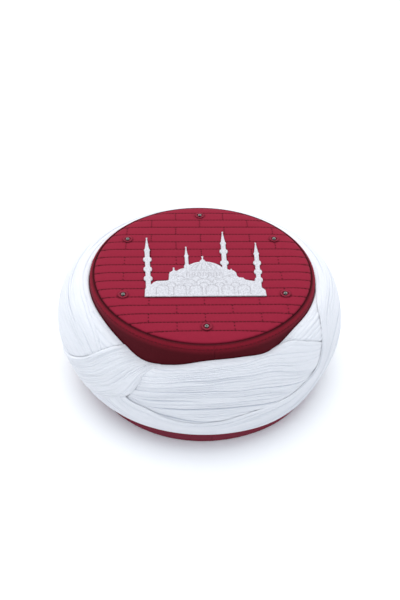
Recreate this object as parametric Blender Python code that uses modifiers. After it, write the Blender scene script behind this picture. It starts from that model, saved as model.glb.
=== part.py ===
"""A turban: a low round cap with a quilted crown, and a pleated white cloth wound round its wall.

Metres, +Z up. The origin is the centre of the cap's rim, on the surface that the turban rests on.
The wearer's front faces -Y. An azimuth is 0 degrees at the front and grows towards +X.
"""

import math

import bmesh
import bpy
from mathutils import Matrix, Vector

# The cap's wall
RIM_RADIUS = 0.095  # outside, where the cap sits on the brow
WALL_LEAN = 0.0085  # how far the wall draws in between rim and shoulder
CAP_HEIGHT = 0.092  # from the rim to the seam round the crown
CAP_WALL = 0.0028  # felt and cover together
SHOULDER_TURN = 0.0035  # how far the wall turns in over its top edge
SHOULDER_DROP = 0.005  # the height that this turn takes
RIM_ROUND = 0.0006  # rounding of the folded rim
LEDGE_WIDTH = 0.008  # seam allowance turned in under the crown
LEDGE_THICKNESS = 0.0012
LEDGE_DROP = 0.0022  # from the seam down to the ledge's upper face

# The quilted crown
CROWN_RISE = 0.0015  # height of the quilt's crests over the seam
CROWN_ROLL = 0.006  # width of the crown's rolled edge
CROWN_ROLL_DROP = 0.0026  # how far that edge rolls down
QUILT_DEPTH = 0.0006  # depth of the stitched lines between the strips
FIRST_STRIP = 0.0099  # from the back edge to the first line
STRIP_WIDTH = 0.01055  # the first strip's width; each next one is a little narrower
STRIP_CLOSING = 0.00013  # how much narrower

# The vent eyelets in the crown
EYELET_COUNT = 6
EYELET_INSET = 0.0148  # from the seam to an eyelet's centre
EYELET_BORE = 0.0011  # radius
EYELET_BARREL = 0.0017  # radius
EYELET_FLANGE = 0.0025  # radius
FLANGE_THICKNESS = 0.0005
CUTTER_REACH = 0.0115  # how far the cutter of an eyelet's hole runs over and under the seam

# The embroidered figure on the crown
FIGURE_WIDTH = 0.0886
FIGURE_HEIGHT = 0.0807
FIGURE_THICKNESS = 0.0008
FIGURE_BASE = -0.0371  # where its base line lies along Y
SHAFT_WIDTH = 0.0038
BALCONY_WIDTH = 0.0066
COLLAR_WIDTH = 0.0050  # under a tower's spire
SPIRE_WIDTH = 0.0033  # at the spire's foot
BALCONY_HEIGHT = 0.0054  # from the underside of its bulge to its rim
DOME_RADIUS = 0.0169
FINIAL_WIDTH = 0.0044

# The wound cloth
BULGE = 0.032  # how far the cloth stands out from the wall at the back
LAYER = 0.003  # from one pass of cloth to the next
PLEAT_DEPTH = 0.0009
PRESSED = 0.0022  # how far the crossing fold presses the band under it
CROSS_LIFT = 0.0006  # how far the crossing fold stands over the band beside it
PRESS_REACH = 5.0  # degrees over which the band rises again beside the fold
POLE_SHARE = 0.35  # how much of a pass's depth its top and foot give way

# Clearances and fineness
GAP = 0.0003  # between pieces that touch
COVER_GAP = 0.0006  # between curved passes of cloth
ROUND_STEPS = 60
SHOULDER_STEPS = 3
EYELET_STEPS = 8
DOME_STEPS = 10
CROSS_SECTIONS = 18
SHARP_ANGLE = 50.0  # degrees, above which an edge isn't smoothed
STATION = 6.0  # degrees between two sections of the cloth

SHOULDER_RADIUS = RIM_RADIUS - WALL_LEAN
SHOULDER_HEIGHT = CAP_HEIGHT - SHOULDER_DROP
SEAM_RADIUS = SHOULDER_RADIUS - SHOULDER_TURN
LEDGE_TOP = CAP_HEIGHT - LEDGE_DROP
PANEL_RADIUS = SEAM_RADIUS - GAP
PANEL_BOTTOM = LEDGE_TOP + GAP
CROWN_TOP = CAP_HEIGHT + CROWN_RISE
PLY = LAYER - COVER_GAP

# How the cloth lies round the cap: azimuth in degrees, bulge as a share of BULGE, and the heights
# of its foot and top as shares of CAP_HEIGHT
RING = (
    (-180, 1.00, 0.115, 0.915),
    (-150, 0.97, 0.125, 0.925),
    (-120, 0.89, 0.130, 0.935),
    (-90, 0.765, 0.130, 0.925),
    (-60, 0.61, 0.125, 0.905),
    (-45, 0.53, 0.120, 0.850),
    (-30, 0.455, 0.115, 0.757),
    (-15, 0.405, 0.110, 0.800),
    (0, 0.375, 0.100, 0.868),
    (15, 0.375, 0.095, 0.868),
    (30, 0.39, 0.085, 0.838),
    (45, 0.455, 0.080, 0.920),
    (60, 0.53, 0.080, 0.930),
    (90, 0.735, 0.080, 0.930),
    (120, 0.905, 0.085, 0.920),
    (150, 0.985, 0.100, 0.915),
)
RING_COLUMNS = ("azimuth", "bulge", "foot", "top")

# The outer band's upper edge: azimuth, and the share of the way from the foot to the top
BAND_EDGE = (
    (-180, 1.00),
    (-120, 1.00),
    (-92, 0.985),
    (-70, 0.975),
    (-62, 0.94),
    (-55, 0.895),
    (-48, 0.80),
    (-40, 0.645),
    (-32, 0.54),
    (-24, 0.505),
    (-14, 0.425),
    (-4, 0.39),
    (6, 0.40),
    (18, 0.445),
    (30, 0.465),
    (38, 0.46),
    (46, 0.49),
    (52, 0.53),
    (56, 0.635),
    (60, 0.80),
    (65, 0.915),
    (74, 0.99),
    (90, 1.00),
    (140, 1.00),
)
BAND_COLUMNS = ("azimuth", "edge")

# The front pass: azimuth, and the shares at its lower edge, hidden in the band, and upper edge
FRONT_EDGES = (
    (-34, 0.65, 1.00),
    (-30, 0.575, 1.00),
    (-27, 0.52, 1.00),
    (-20, 0.44, 1.00),
    (-12, 0.37, 1.00),
    (0, 0.33, 1.00),
    (16, 0.27, 1.00),
    (28, 0.25, 1.00),
    (34, 0.25, 1.00),
    (40, 0.245, 0.905),
    (46, 0.25, 0.795),
    (52, 0.30, 0.72),
    (58, 0.38, 0.65),
    (62, 0.45, 0.615),
)
FRONT_COLUMNS = ("azimuth", "low", "high")

# The crossing fold from the cap down to the left: share, and the azimuths of its two edges
CROSS_EDGES = (
    (1.00, -40.5, -20.5),
    (0.90, -43.0, -24.0),
    (0.80, -46.2, -26.7),
    (0.69, -50.8, -28.5),
    (0.575, -56.8, -31.3),
    (0.485, -64.2, -35.5),
    (0.39, -74.0, -41.5),
    (0.29, -84.0, -49.0),
    (0.18, -93.0, -59.0),
    (0.07, -100.0, -70.0),
)
CROSS_COLUMNS = ("share", "left", "right")

# Where the pleats of each piece meet, as shares across it
CORE_PLEATS = (0.0, 0.50, 0.78, 1.0)
BAND_PLEATS = (0.0, 0.24, 0.45, 0.62, 0.81, 1.0)
FRONT_PLEATS = (0.0, 0.21, 0.36, 0.49, 0.63, 0.82, 1.0)
CROSS_PLEATS = (0.0, 0.16, 0.34, 0.51, 0.70, 1.0)
BAND_LINING_ROWS = 9
FRONT_TUCK = 50.0  # azimuth from which the front pass dips under the band
POLE_EASE = 0.85  # share from which the front pass thins towards the cap
CREST_FROM = 0.3  # each pleat is full between this share of its width and its mirror
ROLL_RINGS = (0.3, 0.7)  # shares of the crown's rolled edge at which its rings of points lie

# The figure's towers: places across of the axis at the base line and the tip, heights of the left
# foot, the right foot, the collar and the tip, width, and the heights of the balconies' rims
TOWERS = (
    (-0.456, -0.497, 0.12, 0.163, 0.707, 0.898, 1.0, (0.286, 0.426, 0.574)),
    (-0.131, -0.143, 0.405, 0.462, 0.608, 0.745, 0.72, (0.46,)),
    (0.179, 0.198, 0.41, 0.385, 0.819, 1.0, 1.0, (0.519, 0.698)),
    (0.454, 0.487, 0.21, 0.113, 0.646, 0.81, 0.93, (0.258, 0.378, 0.515)),
)
# The roofs between the towers: place across and height, each run from one tower to the next
LEFT_ROOFS = (
    (-0.422, 0.197), (-0.395, 0.217), (-0.31, 0.222), (-0.296, 0.229), (-0.293, 0.31),
    (-0.287, 0.344), (-0.264, 0.364), (-0.254, 0.415), (-0.24, 0.368), (-0.226, 0.364),
    (-0.208, 0.385), (-0.186, 0.399),
)
RIGHT_ROOFS = (
    (0.231, 0.373), (0.24, 0.392), (0.248, 0.372), (0.263, 0.363), (0.279, 0.338), (0.284, 0.29),
    (0.298, 0.263), (0.334, 0.259), (0.35, 0.23), (0.384, 0.219), (0.421, 0.209),
)
# The base's corners beside the outer towers: place across and height
LEFT_BASE = ((-0.49, 0.0), (-0.49, 0.10))
RIGHT_BASE = ((0.494, 0.098), (0.506, 0.076), (0.506, 0.0))
DOME_LEFT, DOME_MIDDLE, DOME_RIGHT = -0.115, 0.008, 0.160  # places across
FINIAL_PLACE = -0.001
DOME_APEX, FINIAL_TIP = 0.506, 0.59  # heights
# One side of the finial, as shares of half its width: out, and up from the dome's apex
FINIAL_SIDE = ((1.0, 0.0), (0.8, 0.6), (0.3, 1.2))


def smooth_step(value):
    """Ease from 0 to 1 as the value goes from 0 to 1."""
    value = min(max(value, 0.0), 1.0)
    return value * value * (3.0 - 2.0 * value)


def read_table(table, place, column, round_trip=False):
    """Read one column of a table at a place in its first column, on a smooth curve."""
    rows = list(table)
    if round_trip:
        turn = 360.0
        place = (place + turn / 2) % turn - turn / 2
        rows = [(row[0] - turn,) + tuple(row[1:]) for row in table[-2:]] + rows
        rows += [(row[0] + turn,) + tuple(row[1:]) for row in table[:2]]
    rows.sort(key=lambda row: row[0])
    place = min(max(place, rows[0][0]), rows[-1][0])
    index = max(i for i in range(len(rows) - 1) if rows[i][0] <= place)

    def slope(i):
        before, after = rows[max(i - 1, 0)], rows[min(i + 1, len(rows) - 1)]
        return (after[column] - before[column]) / (after[0] - before[0])

    low, high = rows[index], rows[index + 1]
    span = high[0] - low[0]
    t = (place - low[0]) / span
    ease_in = t * (1.0 - t) ** 2 * span * slope(index)
    ease_out = t * t * (1.0 - t) * span * slope(index + 1)
    eased = smooth_step(t)
    return low[column] * (1.0 - eased) + high[column] * eased + ease_in - ease_out


def wall_radius(height):
    """Outer radius of the cap's wall at a height."""
    return RIM_RADIUS - WALL_LEAN * height / SHOULDER_HEIGHT


def ring_share(azimuth, column):
    """A column of the cloth's ring at an azimuth."""
    return read_table(RING, azimuth, RING_COLUMNS.index(column), True)


def band_edge(azimuth):
    """The share at which the outer band's upper edge lies at an azimuth."""
    return read_table(BAND_EDGE, azimuth, BAND_COLUMNS.index("edge"), True)


def front_edge(azimuth, column):
    """The share at which an edge of the front pass lies at an azimuth."""
    return read_table(FRONT_EDGES, azimuth, FRONT_COLUMNS.index(column))


def cross_edge(share, column):
    """The azimuth at which an edge of the crossing fold lies at a share."""
    return read_table(CROSS_EDGES, share, CROSS_COLUMNS.index(column))


def wrap_point(azimuth, share, sink):
    """A point in the wound cloth: share runs from its foot to its top, sink into its depth."""
    bulge = BULGE * ring_share(azimuth, "bulge") - sink
    foot = CAP_HEIGHT * ring_share(azimuth, "foot")
    top = CAP_HEIGHT * ring_share(azimuth, "top")
    rise = math.pi * (share - 0.5)
    half = (top - foot) / 2.0 - POLE_SHARE * sink
    height = (foot + top) / 2.0 + half * math.sin(rise)
    radius = wall_radius(height) + GAP + bulge * math.cos(rise)
    turn = math.radians(azimuth)
    return Vector((radius * math.sin(turn), -radius * math.cos(turn), height))


def pressed_down(azimuth, share):
    """How far the crossing fold presses the band at a point."""
    inside = smooth_step((azimuth - cross_edge(share, "left")) / PRESS_REACH + 1.0)
    inside *= smooth_step((cross_edge(share, "right") - azimuth) / PRESS_REACH + 1.0)
    return PRESSED * inside


def pleat_rows(edges):
    """Rows across a pleated piece: the share of each, and how deep it lies in its pleat."""
    rows = []
    for low, high in zip(edges, edges[1:]):
        rows.append((low, 1.0))
        rows.append((low + CREST_FROM * (high - low), 0.0))
        rows.append((high - CREST_FROM * (high - low), 0.0))
    rows.append((edges[-1], 1.0))
    return rows


def make_material(name, colour, roughness, metallic=0.0):
    """A plain Principled material."""
    material = bpy.data.materials.new(name)
    material.use_nodes = True
    shader = material.node_tree.nodes["Principled BSDF"]
    shader.inputs["Base Color"].default_value = (*colour, 1.0)
    shader.inputs["Roughness"].default_value = roughness
    shader.inputs["Metallic"].default_value = metallic
    material.diffuse_color = (*colour, 1.0)
    return material


def new_object(name, mesh, collection, material=None):
    """Put a mesh into the scene as a named object, shaded smooth but for its sharp edges."""
    item = bpy.data.objects.new(name, mesh)
    collection.objects.link(item)
    if material:
        mesh.materials.append(material)
        mesh.shade_smooth()
        mesh.set_sharp_from_angle(angle=math.radians(SHARP_ANGLE))
    return item


def mesh_from(shape, name):
    """Turn a bmesh into a mesh of that name."""
    bmesh.ops.recalc_face_normals(shape, faces=shape.faces)
    mesh = bpy.data.meshes.new(name)
    shape.to_mesh(mesh)
    shape.free()
    return mesh


def turned(name, profile, steps, collection, material):
    """A closed profile of (radius, height) points, turned round the Z axis."""
    shape = bmesh.new()
    points = [shape.verts.new((radius, 0.0, height)) for radius, height in profile]
    for point, following in zip(points, points[1:] + points[:1]):
        shape.edges.new((point, following))
    mesh = bpy.data.meshes.new(name)
    shape.to_mesh(mesh)
    shape.free()
    item = new_object(name, mesh, collection, material)
    screw = item.modifiers.new("Turn", "SCREW")
    screw.axis = "Z"
    screw.angle = math.tau
    screw.steps = steps
    screw.render_steps = steps
    screw.use_merge_vertices = True
    screw.merge_threshold = 0.00001
    return item


def lofted(name, sections, runs_round, collection, material):
    """Skin closed sections of as many points each, and cap the ends unless the loft runs round."""
    shape = bmesh.new()
    loops = [[shape.verts.new(point) for point in section] for section in sections]
    pairs = list(zip(loops, loops[1:]))
    if runs_round:
        pairs.append((loops[-1], loops[0]))
    count = len(loops[0])
    for loop, following in pairs:
        for i in range(count):
            after = (i + 1) % count
            shape.faces.new((loop[i], loop[after], following[after], following[i]))
    if not runs_round:
        for loop in (loops[0], loops[-1]):
            for i in range(count // 2 - 1):
                shape.faces.new((loop[i], loop[i + 1], loop[-2 - i], loop[-1 - i]))
    return new_object(name, mesh_from(shape, name), collection, material)


def cap_wall(collection, material):
    """The cap's stiff wall, with its rounded shoulder and the seam allowance under the crown."""
    profile = []
    for step in range(SHOULDER_STEPS + 1):
        turn = math.pi / 2 * step / SHOULDER_STEPS
        profile.append((SEAM_RADIUS + SHOULDER_TURN * math.sin(turn),
                        SHOULDER_HEIGHT + SHOULDER_DROP * math.cos(turn)))
    inside = RIM_RADIUS - CAP_WALL
    ledge_bottom = LEDGE_TOP - LEDGE_THICKNESS
    ledge_inside = SEAM_RADIUS - LEDGE_WIDTH
    profile += [
        (wall_radius(RIM_ROUND), RIM_ROUND),
        (RIM_RADIUS - RIM_ROUND, 0.0),
        (inside + RIM_ROUND, 0.0),
        (inside, RIM_ROUND),
        (wall_radius(ledge_bottom) - CAP_WALL, ledge_bottom),
        (ledge_inside, ledge_bottom),
        (ledge_inside, LEDGE_TOP),
        (SEAM_RADIUS, LEDGE_TOP),
    ]
    return turned("cap_wall", profile, ROUND_STEPS, collection, material)


def strip_lines():
    """The stitched lines across the crown, from the back one to the front one, along Y."""
    lines = [PANEL_RADIUS - FIRST_STRIP]
    width = STRIP_WIDTH
    while lines[-1] - width > CROWN_ROLL - PANEL_RADIUS:
        lines.append(lines[-1] - width)
        width -= STRIP_CLOSING
    return lines


def crown_rows():
    """Rows across the crown: its place along Y and how far it lies below the quilt's crests."""
    lines = [PANEL_RADIUS] + strip_lines() + [-PANEL_RADIUS]
    rows = []
    for line, following in zip(lines, lines[1:]):
        rows.append((line, QUILT_DEPTH))
        rows.append((line + CREST_FROM * (following - line), 0.0))
        rows.append((following - CREST_FROM * (following - line), 0.0))
    return rows[1:]


def crown_sag(place, rows):
    """How far the crown lies below its crests at a place along Y."""
    below = [(PANEL_RADIUS, 0.0)] + rows + [(-PANEL_RADIUS, 0.0)]
    for (line, sag), (following, next_sag) in zip(below, below[1:]):
        if following <= place <= line:
            t = (line - place) / (line - following)
            return sag + (next_sag - sag) * t
    return 0.0


def crown_panel(collection, cutters, material):
    """The padded crown: strips between stitched lines, a rolled edge and holes for the eyelets."""
    shape = bmesh.new()
    bmesh.ops.create_circle(shape, cap_ends=True, radius=PANEL_RADIUS, segments=ROUND_STEPS)
    for share in ROLL_RINGS:
        inner = [face for face in shape.faces if len(face.verts) == ROUND_STEPS]
        bmesh.ops.inset_region(shape, faces=inner, use_boundary=True, use_even_offset=True,
                               thickness=CROWN_ROLL * share)
    rows = crown_rows()
    for line, _ in rows:
        parts = shape.verts[:] + shape.edges[:] + shape.faces[:]
        bmesh.ops.bisect_plane(shape, geom=parts, plane_co=(0, line, 0), plane_no=(0, 1, 0))
    for vert in shape.verts:
        out = math.hypot(vert.co.x, vert.co.y)
        roll = min(max((out - PANEL_RADIUS + CROWN_ROLL) / CROWN_ROLL, 0.0), 1.0)
        drop = CROWN_ROLL_DROP * (1.0 - math.sqrt(1.0 - roll * roll))
        vert.co.z = CROWN_TOP - drop - crown_sag(vert.co.y, rows)
    rim = [edge for edge in shape.edges if edge.is_boundary]
    hem = bmesh.ops.extrude_edge_only(shape, edges=rim)["geom"]
    for vert in hem:
        if isinstance(vert, bmesh.types.BMVert):
            vert.co.z = PANEL_BOTTOM
    rim = [edge for edge in shape.edges if edge.is_boundary]
    bmesh.ops.contextual_create(shape, geom=rim)
    panel = new_object("crown_panel", mesh_from(shape, "crown_panel"), collection, material)
    holes = bmesh.new()
    for x, y in eyelet_places():
        radius = EYELET_BARREL + GAP
        bmesh.ops.create_cone(holes, cap_ends=True, segments=EYELET_STEPS, radius1=radius,
                              radius2=radius, depth=2 * CUTTER_REACH,
                              matrix=Matrix.Translation((x, y, CAP_HEIGHT)))
    cutter = new_object("eyelet_holes", mesh_from(holes, "eyelet_holes"), cutters)
    cutter.hide_render = True
    cutter.display_type = "WIRE"
    cut = panel.modifiers.new("Eyelet holes", "BOOLEAN")
    cut.object = cutter
    cut.solver = "EXACT"
    return panel


def eyelet_places():
    """Centres of the eyelets, on a circle inside the seam, the first one at the back."""
    places = []
    for number in range(EYELET_COUNT):
        turn = math.radians(90.0) - math.tau * number / EYELET_COUNT
        out = SEAM_RADIUS - EYELET_INSET
        places.append((out * math.cos(turn), out * math.sin(turn)))
    return places


def eyelets(collection, material):
    """Six small metal vent eyelets: a barrel through the crown with a flange on top of it."""
    under = CROWN_TOP + GAP
    top = under + FLANGE_THICKNESS
    profile = (
        (EYELET_BORE, top - FLANGE_THICKNESS / 2),
        (EYELET_BARREL, top),
        (EYELET_FLANGE - FLANGE_THICKNESS / 2, top),
        (EYELET_FLANGE, under),
        (EYELET_BARREL, under),
        (EYELET_BARREL, PANEL_BOTTOM),
        (EYELET_BORE, PANEL_BOTTOM),
    )
    for number, (x, y) in enumerate(eyelet_places(), 1):
        item = turned("eyelet_%d" % number, profile, EYELET_STEPS, collection, material)
        item.location = (x, y, 0.0)


def above(side, foot):
    """The stretch of a tower's side above a height, from the point where it crosses that height."""
    kept = [point for point in side if point[1] > foot]
    low, high = side[len(side) - len(kept) - 1], kept[0]
    t = (foot - low[1]) / (high[1] - low[1])
    return [(low[0] + t * (high[0] - low[0]), foot)] + kept


def tower_outline(base_place, tip_place, left_foot, right_foot, collar, tip, width, balconies):
    """A slender tower's outline, up its left side, over its spire and down its right side."""
    shaft, rim, neck, spire = (size * width / 2 for size in (SHAFT_WIDTH, BALCONY_WIDTH,
                                                             COLLAR_WIDTH, SPIRE_WIDTH))
    side = [(shaft, 0.0)]
    for height in balconies:
        level = height * FIGURE_HEIGHT
        side += [(shaft, level - BALCONY_HEIGHT), (rim, level - BALCONY_HEIGHT / 2),
                 (rim, level - BALCONY_HEIGHT / 4), (shaft, level)]
    level = collar * FIGURE_HEIGHT
    side += [(shaft, level - neck), (neck, level - neck / 2), (spire, level)]
    top = tip * FIGURE_HEIGHT

    def axis(height):
        return FIGURE_WIDTH * (base_place + (tip_place - base_place) * height / top)

    left = [(axis(height) - out, height) for out, height in above(side, left_foot * FIGURE_HEIGHT)]
    right = [(axis(height) + out, height) for out, height in above(side, right_foot * FIGURE_HEIGHT)]
    return left + [(axis(top), top)] + right[::-1]


def dome_outline():
    """The main dome, an arc of a circle, with the finial on its top."""
    middle, apex = DOME_MIDDLE * FIGURE_WIDTH, DOME_APEX * FIGURE_HEIGHT
    ends = [math.asin((place - DOME_MIDDLE) * FIGURE_WIDTH / DOME_RADIUS)
            for place in (DOME_LEFT, DOME_RIGHT)]
    arc = []
    for step in range(DOME_STEPS + 1):
        turn = ends[0] + (ends[1] - ends[0]) * step / DOME_STEPS
        arc.append((middle + DOME_RADIUS * math.sin(turn),
                    apex - DOME_RADIUS * (1.0 - math.cos(turn))))
    centre, half = FINIAL_PLACE * FIGURE_WIDTH, FINIAL_WIDTH / 2
    side = [(out * half, apex + up * half) for out, up in FINIAL_SIDE]
    left = [point for point in arc if point[0] < centre - half]
    right = [point for point in arc if point[0] > centre + half]
    return (left + [(centre - out, height) for out, height in side]
            + [(centre, FINIAL_TIP * FIGURE_HEIGHT)]
            + [(centre + out, height) for out, height in reversed(side)] + right)


def on_figure(run):
    """A run of places across and heights, in metres."""
    return [(place * FIGURE_WIDTH, height * FIGURE_HEIGHT) for place, height in run]


def figure_outline():
    """The skyline: four towers, the roofs between them and the main dome, on one base."""
    towers = [tower_outline(*tower) for tower in TOWERS]
    return (on_figure(LEFT_BASE) + towers[0] + on_figure(LEFT_ROOFS) + towers[1] + dome_outline()
            + towers[2] + on_figure(RIGHT_ROOFS) + towers[3] + on_figure(RIGHT_BASE))


def embroidered_figure(collection, material):
    """The raised white figure sewn on the crown, a flat outline with the thread's thickness."""
    curve = bpy.data.curves.new("embroidered_figure", "CURVE")
    curve.dimensions = "2D"
    curve.fill_mode = "BOTH"
    curve.extrude = FIGURE_THICKNESS / 2
    outline = figure_outline()
    spline = curve.splines.new("POLY")
    spline.points.add(len(outline) - 1)
    for point, (x, y) in zip(spline.points, outline):
        point.co = (x, y, 0.0, 1.0)
    spline.use_cyclic_u = True
    curve.materials.append(material)
    item = bpy.data.objects.new("embroidered_figure", curve)
    item.location = (0.0, FIGURE_BASE, CROWN_TOP + GAP + FIGURE_THICKNESS / 2)
    collection.objects.link(item)


def round_stations(fine_from=0.0, fine_to=0.0):
    """Azimuths of the sections of a piece that runs all the way round, closer on one stretch."""
    count = round(360.0 / STATION)
    stations = []
    for step in range(count):
        azimuth = -180.0 + 360.0 * step / count
        stations.append(azimuth)
        if fine_from <= azimuth < fine_to:
            stations.append(azimuth + 180.0 / count)
    return stations


def under_wrap(collection, material):
    """The first passes, wound solid against the cap's wall all the way round."""
    sections = []
    for azimuth in round_stations():
        section = []
        for share, depth in pleat_rows(CORE_PLEATS):
            ends = share in (0.0, 1.0)
            sink = 2 * LAYER + (0.0 if ends else PLEAT_DEPTH * depth)
            section.append(wrap_point(azimuth, share, sink))
        sections.append(section)
    lofted("under_wrap", sections, True, collection, material)


def ply_section(across, outer_rows, inner_rows, level, lining, point_at):
    """One section through a pass: its pleated outer side, then its inner side back again."""
    section = []
    for share, depth in outer_rows:
        where = point_at(across, share)
        give = PLEAT_DEPTH * depth
        if share in (0.0, 1.0):
            give = (lining(*where) - level(*where)) / 2
        section.append(wrap_point(*where, level(*where) + give))
    for share in reversed(inner_rows):
        where = point_at(across, share)
        section.append(wrap_point(*where, lining(*where)))
    return section


def outer_wrap(collection, material):
    """The broad outer band, whose lower half makes the roll along the front."""
    def place(azimuth, share):
        return azimuth, share * band_edge(azimuth)

    def lining(azimuth, share):
        return pressed_down(azimuth, share) + PLY

    inner = [step / (BAND_LINING_ROWS - 1) for step in range(BAND_LINING_ROWS)]
    under_fold = (CROSS_EDGES[-1][1] - 2 * STATION, CROSS_EDGES[0][2] + STATION)
    sections = [
        ply_section(azimuth, pleat_rows(BAND_PLEATS), inner, pressed_down, lining, place)
        for azimuth in round_stations(*under_fold)
    ]
    lofted("outer_wrap", sections, True, collection, material)


def front_wrap(collection, material):
    """The pass that shows across the front, its ends tucked under the fold and the band."""
    def place(azimuth, share):
        low, high = front_edge(azimuth, "low"), front_edge(azimuth, "high")
        return azimuth, low + share * (high - low)

    def level(azimuth, share):
        tucked = smooth_step((azimuth - FRONT_TUCK) / STATION)
        return LAYER + COVER_GAP * tucked

    def lining(azimuth, share):
        at_cap = smooth_step((share - POLE_EASE) / (1.0 - POLE_EASE))
        return LAYER + PLY * (1.0 - at_cap / 2)

    first, last = FRONT_EDGES[0][0], FRONT_EDGES[-1][0]
    middle = [step * STATION for step in range(math.ceil(first / STATION), math.ceil(last / STATION))]
    stations = [first] + [azimuth for azimuth in middle if first < azimuth < last] + [last]
    rows = pleat_rows(FRONT_PLEATS)
    inner = [share for share, _ in rows]
    sections = [ply_section(azimuth, rows, inner, level, lining, place) for azimuth in stations]
    lofted("front_wrap", sections, False, collection, material)


def cross_fold(collection, material):
    """The last pass, drawn over the band from the cap down to the left and tucked under it."""
    def place(down, share):
        height = CROSS_EDGES[0][0] + down * (CROSS_EDGES[-1][0] - CROSS_EDGES[0][0])
        left, right = cross_edge(height, "left"), cross_edge(height, "right")
        return left + share * (right - left), height

    def level(azimuth, share):
        return -CROSS_LIFT

    def lining(azimuth, share):
        beside = [pressed_down(azimuth + reach, share) for reach in (-STATION / 2, 0.0, STATION / 2)]
        return min(beside) - COVER_GAP

    rows = pleat_rows(CROSS_PLEATS)
    inner = [share for share, _ in rows]
    sections = [ply_section(step / CROSS_SECTIONS, rows, inner, level, lining, place)
                for step in range(CROSS_SECTIONS + 1)]
    lofted("cross_fold", sections, False, collection, material)


def build():
    """Clear the scene and model the turban, one object for each piece."""
    for item in list(bpy.data.objects):
        bpy.data.objects.remove(item, do_unlink=True)
    turban = bpy.data.collections.new("turban")
    cutters = bpy.data.collections.new("cutters")
    for collection in (turban, cutters):
        bpy.context.scene.collection.children.link(collection)
    cap_wall(turban, make_material("maroon wall cloth", (0.19, 0.014, 0.033), 0.85))
    crown_panel(turban, cutters, make_material("maroon crown cloth", (0.33, 0.024, 0.06), 0.8))
    eyelets(turban, make_material("eyelet metal", (0.55, 0.55, 0.53), 0.35, 1.0))
    embroidered_figure(turban, make_material("white thread", (0.8, 0.8, 0.8), 0.6))
    under_wrap(turban, make_material("white under cloth", (0.78, 0.8, 0.83), 0.9))
    front_wrap(turban, make_material("white front cloth", (0.83, 0.85, 0.88), 0.9))
    outer_wrap(turban, make_material("white band cloth", (0.85, 0.87, 0.9), 0.9))
    cross_fold(turban, make_material("white fold cloth", (0.87, 0.89, 0.92), 0.9))


build()
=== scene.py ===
# %% [markdown]
# # A turban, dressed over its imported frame
# The real object is a low round cap of stiff maroon cloth, wound with a long pleated white cloth.
# The CAD frame gives each piece its place. This script puts a finer piece over each of them and
# gives it a cloth, thread or metal finish made of shader nodes. All lengths are metres.

# %% Load the frame
import math

import bpy
import numpy as np
from mathutils import Matrix, Vector, geometry


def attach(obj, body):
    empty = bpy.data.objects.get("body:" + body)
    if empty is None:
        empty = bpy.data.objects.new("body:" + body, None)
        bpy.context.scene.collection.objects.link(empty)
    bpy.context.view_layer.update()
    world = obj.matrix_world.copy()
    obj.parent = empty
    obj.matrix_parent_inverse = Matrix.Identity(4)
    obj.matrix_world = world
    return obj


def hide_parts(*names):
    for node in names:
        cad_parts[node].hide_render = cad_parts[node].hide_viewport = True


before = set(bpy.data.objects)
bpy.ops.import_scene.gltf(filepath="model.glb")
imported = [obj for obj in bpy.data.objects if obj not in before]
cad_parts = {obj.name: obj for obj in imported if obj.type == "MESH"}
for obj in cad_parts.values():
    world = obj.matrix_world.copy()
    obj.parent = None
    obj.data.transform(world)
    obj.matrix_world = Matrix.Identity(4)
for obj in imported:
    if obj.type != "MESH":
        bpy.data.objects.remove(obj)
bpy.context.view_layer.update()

MM = 0.001
scene = bpy.context.scene

# %% [markdown]
# ## Camera
# The photograph looks down on the front of the turban at 41 degrees from about half a metre. The
# camera could be placed by eye, but its place, tilt and lens were worked out from the round seam,
# the rim and the six eyelets, so the render and the photograph can be laid over each other.

# %% Camera
CAMERA_PLACE = Vector((-0.0233, -0.3869, 0.3953))
CAMERA_PITCH, CAMERA_ROLL, CAMERA_YAW = (math.radians(v) for v in (41.0347, 1.7707, 3.2449))
LENS, SENSOR = 57.6, 36.0


def place_object(name, data):
    """Put an object with its data into the scene."""
    item = bpy.data.objects.new(name, data)
    scene.collection.objects.link(item)
    return item


camera_data = bpy.data.cameras.new("camera")
camera_data.lens, camera_data.sensor_width = LENS, SENSOR
camera_data.sensor_fit = "HORIZONTAL"
camera = place_object("camera", camera_data)
camera.matrix_world = (Matrix.Translation(CAMERA_PLACE) @ Matrix.Rotation(-CAMERA_YAW, 4, "Z")
                       @ Matrix.Rotation(math.pi / 2 - CAMERA_PITCH, 4, "X")
                       @ Matrix.Rotation(CAMERA_ROLL, 4, "Z"))
scene.camera = camera
print("camera at", [round(v, 3) for v in camera.matrix_world.translation])

# %% [markdown]
# ## Light and floor
# The turban stands on white paper under one broad soft light from above and behind, so its crown
# is bright, the front of its wall is dark, and soft shadows fall towards the viewer. A wide sun
# lamp gives an even soft light all over the floor. A pale world fills the shade with a cool tone.

# %% Light and floor
LAMPS = (  # name, direction, strength, spread in degrees, colour
    ("top light", (0.08, -0.48, -1.0), 1.78, 70.0, (1.0, 0.99, 0.98)),
    ("left fill", (0.9, -0.1, -0.7), 0.92, 100.0, (0.95, 0.97, 1.0)),
    ("right fill", (-0.9, -0.1, -0.7), 0.90, 100.0, (0.95, 0.97, 1.0)),
    ("front fill", (0.05, 0.8, -1.0), 0.34, 120.0, (0.9, 0.95, 1.0)),
)
SKY, SEEN = ((0.80, 0.88, 1.0), 0.44), ((1.0, 1.0, 1.0), 1.0)  # what lights, and what the camera sees
FLOOR_REACH, FLOOR_DROP = 6.0, 0.0003


def put_node(tree, kind, given=None, **settings):
    """Add a node with its settings, its inputs given as values or as sockets to link."""
    made = tree.nodes.new(kind)
    for key, value in settings.items():
        setattr(made, key, value)
    for key, value in (given or {}).items():
        if isinstance(value, bpy.types.NodeSocket):
            tree.links.new(value, made.inputs[key])
        elif value is not None:
            made.inputs[key].default_value = value
    return made


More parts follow.
